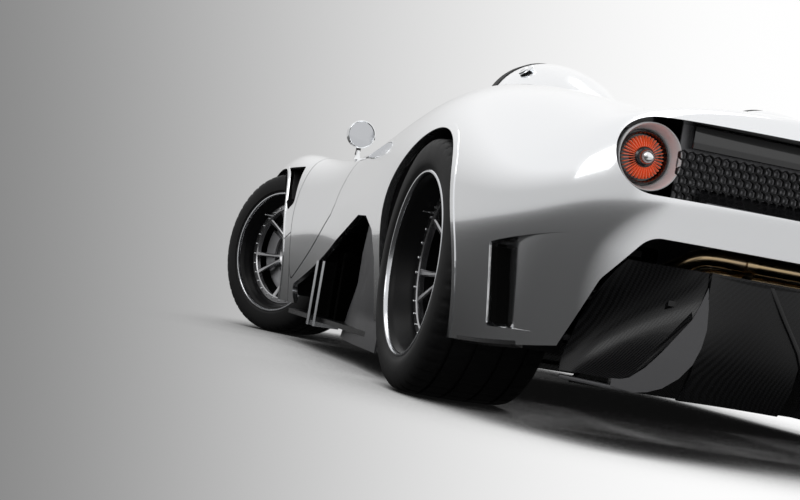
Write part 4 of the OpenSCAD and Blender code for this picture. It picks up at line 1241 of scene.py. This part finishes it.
# ---------------------------------------------------------------- door linings
for sign, side in ((1, "left"), (-1, "right")):
    lining = make("door_lining_" + side, *sheet_mesh(span(10, 14, 0.25), span(2, 8, 0.25), False, [0, 58, 30], -21))
    cut(lining, door_outline(20, RAIL_Y + 14, 1200), "INTERSECT")
    if sign < 0:
        lining.data.transform(Matrix.Scale(-1, 4, (0, 1, 0)))
        lining.data.flip_normals()
    shade(lining, 30)
    finish_piece(lining, "door_" + side, MATT, "plastic", ["door_" + side])


# ---------------------------------------------------------------- exhaust
PIPE_Z = 470.0


def exhaust_pair(off, z, r):
    """One pipe of the pair on the left, up from the silencer, round the bend and in to the middle."""
    return tube(smooth_path([(-500, 330, 400), (-560, 470, 404), (-640, 556 - off, 410), (-730, 572 - off, 418),
                             (-800 + off / 2, 560 - off, z - 30), (-829 + off, 530 - off, z - 6),
                             (-832 + off, 490 - off, z), (-832 + off, 400, z), (-832 + off, 200, z),
                             (-832 + off, 2, z)], 10), r, 24)


pipes = joined([exhaust_pair(0, PIPE_Z, 20), exhaust_pair(30, PIPE_Z - 36, 16)])
flange = prism_mesh(rounded([(-832, PIPE_Z), (-802, PIPE_Z - 36)], 25), "y", 394, 420)
studs = [moved(dish([(0, 0), (0, 4.5), (36, 4.5), (36, 0)], 6), (x, 389, z))
         for x, z in ((-852, PIPE_Z - 26), (-780, PIPE_Z - 12))]
muffler = prism_mesh(rounded([(-480, 400)], 88, 96), "y", 0, 358)
ob = solid("exhaust_pipes", both(joined([pipes, flange] + studs)), 40)
finish_piece(ob, "chassis", HOT, "hot_metal", ["exhaust"])
ob = bevel(outward(make("exhaust_silencer", *both(muffler))), 8, 3)
finish_piece(ob, "chassis", STEEL, "hot_metal")


# ---------------------------------------------------------------- diffuser
OUTER_FIN = [(549, 396), (541, 350), (537, 304), (543, 262), (558, 222), (585, 188), (621, 161), (655, 148),
             (689, 142), (742, 149), (742, 166), (722, 167), (702, 173), (668, 200), (635, 239), (605, 280),
             (576, 320), (560, 360)]


def curved_panel(name, profile, y0, y1, bow, thick, n=24):
    """Panel whose section in x and z bows forward between its two sides."""
    rings = []
    for t in np.linspace(0, 1, n):
        y = y0 + (y1 - y0) * t
        push = bow * math.sin(math.pi * t)
        front = [(x + push * min(1.0, (436 - z) / 200), y, z) for x, z in profile]
        back = [(x + thick, y, z + 1) for x, y, z in front[::-1]]
        rings.append(front + back)
    return loft(rings)


RAMP = smooth_path([(-400, 118, 0), (-560, 186, 0), (-760, 260, 0), (-900, 343, 0)], 8)[:, :2]
ramp = [(x, z) for x, z in RAMP]
floor_rings = [[(x, y, z) for x, z in ramp] + [(x, y, z + 12) for x, z in ramp[::-1]] for y in (-620, 0, 620)]
LIP = [(-886, 345), (-905, 352), (-926, 385), (-941, 424), (-936, 429), (-928, 428)]
lip_rings = [[(x, y, z) for x, z in LIP] + [(x + 9, y, z + 1) for x, z in LIP[::-1]]
             for y in (-550, -300, 0, 300, 550)]
SKIRT = [(-941, 430), (-941, 380), (-938, 320), (-930, 260), (-914, 200), (-892, 160), (-870, 136)]
skirt = curved_panel("skirt", SKIRT, 292, 546, 26, 12)
fins = [prism_mesh(OUTER_FIN, "x", -938, -918)]
inner = [(391, 424), (370, 392), (346, 357), (318, 318), (295, 285), (277, 245), (262, 200), (254, 170), (250, 140),
         (262, 140), (266, 170), (274, 200), (289, 245), (307, 285), (330, 318), (358, 357), (382, 392), (403, 424)]
fins.append(prism_mesh(inner, "x", -940, -640))
ob = solid("diffuser_floor", joined([loft(floor_rings), loft(lip_rings), both(skirt)]), 35)
finish_piece(ob, "chassis", CARBON, "carbon", ["diffuser"])
ob = outward(make("diffuser_fins", *both(joined(fins))))
finish_piece(bevel(ob, 1.5, 2, 50), "chassis", CARBON, "carbon")
face = [(y, z) for y, z in OUTER_FIN]
cap = solid("diffuser_fin_faces", both(prism_mesh(face, "x", -940.5, -938.2)))
finish_piece(cap, "chassis", GREY_COAT, "carbon")


# The cheek: one bowed sheet of carbon from the body's cut edge to the outer fin
EDGE = [(-889, 728, 429), (-876, 745, 404), (-856, 767, 360), (-838, 779, 325), (-818, 790, 280), (-806, 796, 245),
        (-797, 804, 208), (-794, 808, 178), (-794, 808, 160)]
ON_FIN = [(-937, 552, 429), (-937, 551, 398), (-937, 560, 360), (-937, 574, 325), (-937, 603, 280),
          (-937, 632, 245), (-937, 662, 208), (-937, 696, 178), (-937, 730, 163)]
cheek_rings = []
for t in np.linspace(0, 1, 26):
    front = []
    for k, (a, b) in enumerate(zip(EDGE, ON_FIN)):
        x, y, z = (p + (q - p) * t for p, q in zip(a, b))
        front.append((x + 58 * math.sin(math.pi * t) * math.sin(math.pi * k / 10), y, z))
    back = [(x + 7, y - 1, z) for x, y, z in front[::-1]]
    cheek_rings.append(front + back)
finish_piece(solid("diffuser_cheeks", both(loft(cheek_rings)), 40), "chassis", CARBON, "carbon")
foot = prism_mesh([(-938, 742), (-938, 690), (-780, 700), (-740, 786), (-790, 804)], "z", 142, 150)
finish_piece(bevel(outward(make("diffuser_feet", *both(foot))), 2, 2, 40), "chassis", GREY_COAT, "carbon")
# Strip of bare carbon along the lower edge of the rear body
strip_rings = []
for x in np.linspace(-410, -700, 40):
    low = None
    for z in np.arange(180, 260, 1.5):
        hit = SKIN.ray((x, 1400, z), (0, -1, 0))[0]
        if hit is not None:
            low = (hit[1], z)
            break
    if low:
        y, z = low
        strip_rings.append([(x, y + 1.5, z - 1), (x, y + 1.5, z + 9), (x, y - 18, z + 9), (x, y - 18, z - 6)])
finish_piece(solid("rear_edge_strips", both(loft(strip_rings)), 40), "chassis", CARBON, "carbon")


# ---------------------------------------------------------------- fairings, hoops, filler
def fairing():
    """Teardrop behind a head: sections across, from the hoop to its tail on the deck."""
    rows = [(790, 196, 902), (770, 198, 901.5), (700, 196, 898), (630, 186, 896), (560, 172, 894), (490, 156, 890),
            (420, 138, 886), (350, 115, 881), (280, 92, 876), (220, 68, 873.5), (170, 46, 872), (140, 30, 869),
            (120, 8, 866)]
    dense = smooth_path(rows, 4)
    rings = []
    for x, r, z in dense:
        rings.append([(x, SEAT_Y + r * math.cos(a), z + r * math.sin(a))
                      for a in np.linspace(0, 2 * math.pi, 72, endpoint=False)])
    return loft(rings)


ob = outward(make("fairing_shells", *both(fairing())))
under = make("cutter", *sheet_mesh(span(5, 10, FINE), span(0, 8, FINE), True, [0, 0, 400], 0.2))
cut(ob, under)
shade(ob, 40)
finish_piece(ob, "chassis", PAINT, "paint", ["fairings"])


def hoop_band(x0, x1, r, t, a0, a1, n=64):
    rings = []
    for a in np.linspace(math.radians(a0), math.radians(a1), n):
        c, s = math.cos(a), math.sin(a)
        rings.append([(x, SEAT_Y + q * c, 902 + q * s) for x, q in
                      ((x0, r), (x0 + 3, r + 2), (x1 - 3, r + 2), (x1, r), (x1, r - t), (x0, r - t))])
    return loft(rings)


bands = solid("hoop_bands", both(hoop_band(758, 816, 198, 26, -12, 192)), 30)
cut(bands, make("cutter", *sheet_mesh(span(5, 10, FINE), span(0, 8, FINE), True, [0, 0, 400], 0.2)))
shade(bands, 30)
finish_piece(bands, "chassis", MATT, "carbon", ["roll_hoops"])
cover = dish([(-3, 0), (-3, 188), (3, 186), (10, 150), (14, 90), (15, 0)], 72)
pad = solid("headrest_backs", both(moved(turned(cover, "Z", -math.pi / 2), (806, SEAT_Y, 902))), 35)
cut(pad, make("cutter", *sheet_mesh(span(5, 10, FINE), span(0, 8, FINE), True, [0, 0, 400], 0.2)))
finish_piece(pad, "chassis", LEATHER, "leather")
cap = dish([(0, 0), (0, 26), (3, 28), (7, 27), (9, 22), (9, 8), (11, 6), (11, 0)], 40)
cap = turned(turned(cap, "X", math.pi / 2 - 0.72), "Z", 0.0)
ob = solid("filler_cap", moved(cap, (640, SEAT_Y + 120, 902 + 142)), 30)
finish_piece(ob, "chassis", CHROME, "polished")


# ---------------------------------------------------------------- mirrors
FOOT = skin_points(11.55, 4.45)


def mirror_mesh():
    head = lathe([(-15, 47), (-17, 49), (-16, 52), (10, 52), (14, 48), (16, 40), (12, 40), (-8, 44), (-11, 46)], 64)
    shell = dish([(10, 0), (10, 44), (16, 40), (15, 20), (15, 0)], 64)
    glass = dish([(-9, 0), (-9, 46.5), (-12, 46.5), (-12.5, 30), (-13, 0)], 64)
    neck = tube(smooth_path([(0, 0, -46), (0, 0, -60), (-2, 0, -78)], 5), 9, 20)
    return head, shell, glass, neck


def at_mirror(mesh):
    v, f = turned(mesh, "Z", -math.pi / 2)
    return v + np.array([FOOT[0], FOOT[1], 815]), f


head, shell, glass, neck = mirror_mesh()
fz = FOOT[2]
arm = loft([[(FOOT[0] + sx * a, FOOT[1] + sy * b, z) for sx, sy in
             ((-1, -0.5), (-0.5, -1), (0.5, -1), (1, -0.5), (1, 0.5), (0.5, 1), (-0.5, 1), (-1, 0.5))]
            for z, a, b in ((fz - 1, 24, 13), (fz + 5, 21, 10), (fz + 16, 15, 7.5), (815 - 60, 12, 7))])
for sign, side in ((1, "left"), (-1, "right")):
    for name, mesh, mat, sl in (("mirror_head_", joined([at_mirror(head), at_mirror(shell)]), CHROME, "paint"),
                                ("mirror_glass_", at_mirror(glass), MIRROR, "polished"),
                                ("mirror_neck_", at_mirror(neck), BLACK, "plastic"),
                                ("mirror_arm_", arm, PAINT, "paint")):
        m = mesh if sign > 0 else mirrored(*mesh)
        ob = solid(name + side, m, 35)
        finish_piece(ob, "door_" + side, mat, sl, ["mirror_" + side] if name == "mirror_head_" else ())


# ---------------------------------------------------------------- headlamps
def lamp_local(mesh):
    v, f = turned(mesh, "X", math.pi / 2)
    tilt, turn = math.radians(78), math.radians(12)
    m = np.array(Matrix.Rotation(turn, 3, "Z") @ Matrix.Rotation(tilt, 3, "Y"))
    return np.asarray(v) @ m.T + np.array([2940, 620, 560]), f


bowl = dish([(8, 0), (10, 30), (22, 62), (50, 84), (54, 86), (54, 82), (48, 78), (24, 56), (13, 28), (12, 0)], 64)
lens = dish([(54, 0), (54, 84), (57, 84), (62, 60), (66, 30), (67, 0)], 64)
bulb = dish([(12, 0), (12, 14), (30, 14), (36, 10), (38, 0)], 32)
bead = lathe([(50, 87), (60, 87.6), (62, 85), (60, 82), (50, 82)], 72)
for name, mesh, mat, sl in (("headlamp_bowls", bowl, CHROME, "lamp"), ("headlamp_lenses", lens, LAMP, "lamp"),
                            ("headlamp_bulbs", bulb, MIRROR, "lamp"), ("headlamp_beads", bead, BLACK, "plastic")):
    ob = solid(name, both(lamp_local(mesh)), 35)
    finish_piece(ob, "chassis", mat, sl, ["headlights"] if name == "headlamp_lenses" else ())
# ---------------------------------------------------------------- side intakes
TUB_W = 727


def inside_intake(ob):
    return cut(ob, pair(prism_mesh(rounded(INTAKE, 28), "y", 600, 1200)), "INTERSECT")


wall_rings = []
for z in np.linspace(70, 492, 26):
    front_x = float(np.interp(z, (60, 168, 270, 376, 470, 500), (1330, 1262, 1105, 1016, 875, 800)))
    front = []
    for x in np.linspace(front_x, 490, 24):
        s = (x - 490) / (front_x - 490)
        front.append((x, side_point(x, max(z, 170))[0][1] - 20 - 46 * s ** 3, z))
    wall_rings.append(front + [(x, y - 6, z) for x, y, z in front[::-1]])
wall = inside_intake(outward(make("intake_walls", *both(loft(wall_rings)))))
finish_piece(shade(wall, 40), "chassis", GREY_COAT, "plastic")
blades = []
for x in (1560, 1450):
    turn = math.radians(24)
    outline = [(x + a * math.cos(turn) - b * math.sin(turn), TUB_W + 45 + a * math.sin(turn) + b * math.cos(turn))
               for a, b in ((-1, 40), (13, 40), (13, 151), (6, 156), (-1, 151))]
    blades.append(prism_mesh(outline, "z", 90, 330))
finish_piece(shade(inside_intake(outward(make("intake_strakes", *both(joined(blades))))), 30), "chassis",
             POLISHED, "polished")
# Shut line between the front fender and its lower panel
line = []
for x in np.linspace(2114, 2014, 12):
    z = 398 + (2114 - x) * 0.29
    y = side_point(x, z)[0][1]
    line.append([(x, y + 0.5, z + 1.4), (x, y + 0.5, z - 1.4), (x, y - 4, z - 1.4), (x, y - 4, z + 1.4)])
finish_piece(solid("fender_seams", both(loft(line)), 40), "chassis", MATT, "plastic")


# ---------------------------------------------------------------- tail pipes
tips = []
for y in (60, 122):
    ring = lathe([(0, 27), (-66, 28), (-69, 27), (-69, 24.5), (-66, 24), (0, 23.5)], 56)
    tips.append(moved(turned(ring, "Z", -math.pi / 2), (-862, y, 458)))
    tips.append(tube(smooth_path([(-862, y, 458), (-848, y, 462), (-836, y, 466)], 4), 22, 28))
finish_piece(solid("tail_pipes", both(joined(tips)), 40), "chassis", HOT, "hot_metal")


# ---------------------------------------------------------------- seats
def pad(centre, size, tilt, seams=(), power=0.42, m=72, n=56):
    """Crowned cushion, boxy but full, with sewn channels across its width at the given places."""
    rings = []
    hx, hy, hz = size
    for p in np.linspace(-math.pi / 2 + 0.02, math.pi / 2 - 0.02, n):
        ring = []
        for t in np.linspace(0, 2 * math.pi, m, endpoint=False):
            c, s = math.cos(t), math.sin(t)
            k = abs(math.cos(p)) ** power
            x = hx * k * math.copysign(abs(c) ** power, c)
            z = hz * k * math.copysign(abs(s) ** power, s)
            y = hy * math.copysign(abs(math.sin(p)) ** power, math.sin(p))
            if seams:
                along = x if hx > hz else z
                near = min(abs(along - q) for q in seams)
                dip = 1 - 0.16 * math.exp(-(near / 5.0) ** 2)
                if hx > hz:
                    z *= dip
                else:
                    x *= dip
            ring.append((x, y, z))
        rings.append(ring)
    v, f = turned(loft(rings), "Y", tilt)
    return v + np.array(centre), f


LEAN = -math.atan2(130, 600)
SEATS = {
    "seat_base": (pad((1235, 0, 292), (182, 178, 44), 0.05, (-120, -60, 0, 60, 120)), True),
    "seat_back": (pad((962, 0, 580), (40, 176, 236), LEAN, (-150, -90, -30, 30, 90, 150)), True),
    "seat_base_bolsters": (joined([pad((1240, s * 222, 300), (190, 34, 56), 0.05) for s in (-1, 1)]), True),
    "seat_back_bolsters": (joined([pad((1000, s * 218, 520), (52, 32, 205), LEAN) for s in (-1, 1)]), True),
}
shell = joined([pad((915, 0, 545), (10, 232, 300), LEAN, (), 0.2), pad((1225, 0, 226), (215, 232, 12), 0.03, (), 0.2),
                box_mesh((1060, -150, 172), (1440, -110, 218)), box_mesh((1060, 110, 172), (1440, 150, 218))])
for sign, side in ((1, "left"), (-1, "right")):
    for name, (mesh, soft) in SEATS.items():
        piece = solid(name + "_" + side, moved(mesh, (0, sign * SEAT_Y, 0)), 50)
        finish_piece(piece, "chassis", LEATHER, "leather")
    piece = solid("seat_shell_" + side, moved(shell, (0, sign * SEAT_Y, 0)), 35)
    finish_piece(piece, "chassis", CARBON, "carbon", ["seat_" + side])


# ---------------------------------------------------------------- instruments, wheel boss and gear lever
dials, faces_, marks = [], [], []
for k, r in ((-1, 24), (0, 29), (1, 24)):
    at = (1652, SEAT_Y + 66 * k, 650)
    dials.append(moved(turned(lathe([(-3, r), (-6, r - 1), (-6, r - 3), (0, r - 4), (6, r)], 56), "Z",
                              math.pi / 2), at))
    faces_.append(moved(turned(dish([(-4, 0), (-4, r - 3.5), (4, r - 3.5), (4, 0)], 48), "Z", -math.pi / 2), at))
    for i in range(11):
        a = math.radians(-135 + 27 * i)
        c = (at[0] - 4.6, at[1] + (r - 8) * math.sin(a), at[2] + (r - 8) * math.cos(a))
        marks.append(box_mesh((c[0] - 0.5, c[1] - 0.8, c[2] - 2.2), (c[0] + 0.5, c[1] + 0.8, c[2] + 2.2)))
finish_piece(solid("dial_rims", joined(dials), 40), "chassis", CHROME, "polished")
finish_piece(solid("dial_faces", joined(faces_), 40), "chassis", BLACK, "plastic")
finish_piece(solid("dial_marks", joined(marks), 40), "chassis", WHITE_PRINT_AND_PAINTED_REFLECTION, "plastic")
TILT = math.radians(112)
boss = dish([(0, 0), (0, 30), (-5, 30), (-9, 26), (-11, 12), (-11, 0)], 48)
v, f = turned(boss, "X", math.pi / 2)
v = np.asarray(v, float)
v = np.stack([v[:, 0] * math.cos(TILT) + v[:, 2] * math.sin(TILT), v[:, 1],
              -v[:, 0] * math.sin(TILT) + v[:, 2] * math.cos(TILT)], -1) + np.array([1480, SEAT_Y, 640])
finish_piece(solid("wheel_boss", (v, f), 40), "steering_wheel", CHROME, "polished")
lever = tube(smooth_path([(1540, 0, 388), (1532, 0, 430), (1518, 0, 476)], 5), 6, 16)
knob = moved(turned(dish([(-20, 0), (-19, 8), (-12, 16), (0, 20), (12, 16), (19, 8), (20, 0)], 40), "X",
                    math.pi / 2), (1515, 0, 488))
gate = prism_mesh(rounded([(1510, 0), (1570, 0)], 30), "z", 389, 394)
finish_piece(solid("gear_lever", joined([lever, knob]), 40), "chassis", CHROME, "polished")
finish_piece(solid("gear_gate", gate, 40), "chassis", STEEL, "polished")




# ---------------------------------------------------------------- CAD nodes that stay
KEPT = {
    "tub": CARBON, "undertray": CARBON, "diffuser": CARBON, "intake_ducts": PAINTED_SHADE, "wheel_liners": MATT,
    "rear_grille": MATT, "front_grille": MATT, "dashboard": MATT, "steering_column": MATT,
    "taillight_bezels": CHROME, "taillight_lenses": RED, "headlights": LAMP, "windscreen": GLASS,
    "fairings": PAINT, "roll_hoops": MATT, "seat_left": LEATHER, "seat_right": LEATHER, "engine": CAST,
    "exhaust": HOT, "rear_uprights": CAST, "wishbones": CAST, "driveshafts": STEEL,
    "door_left": CARBON, "door_right": CARBON, "mirror_left": CHROME, "mirror_right": CHROME,
    "steering_wheel": LEATHER, "knuckle_left": CAST, "knuckle_right": CAST,
}
for corner in ("fl", "fr", "rl", "rr"):
    KEPT["tyre_" + corner] = RUBBER
    KEPT["rim_" + corner] = POLISHED
for name, mat in KEPT.items():
    data = NODES[name].data
    data.materials.clear()
    data.materials.append(mat)
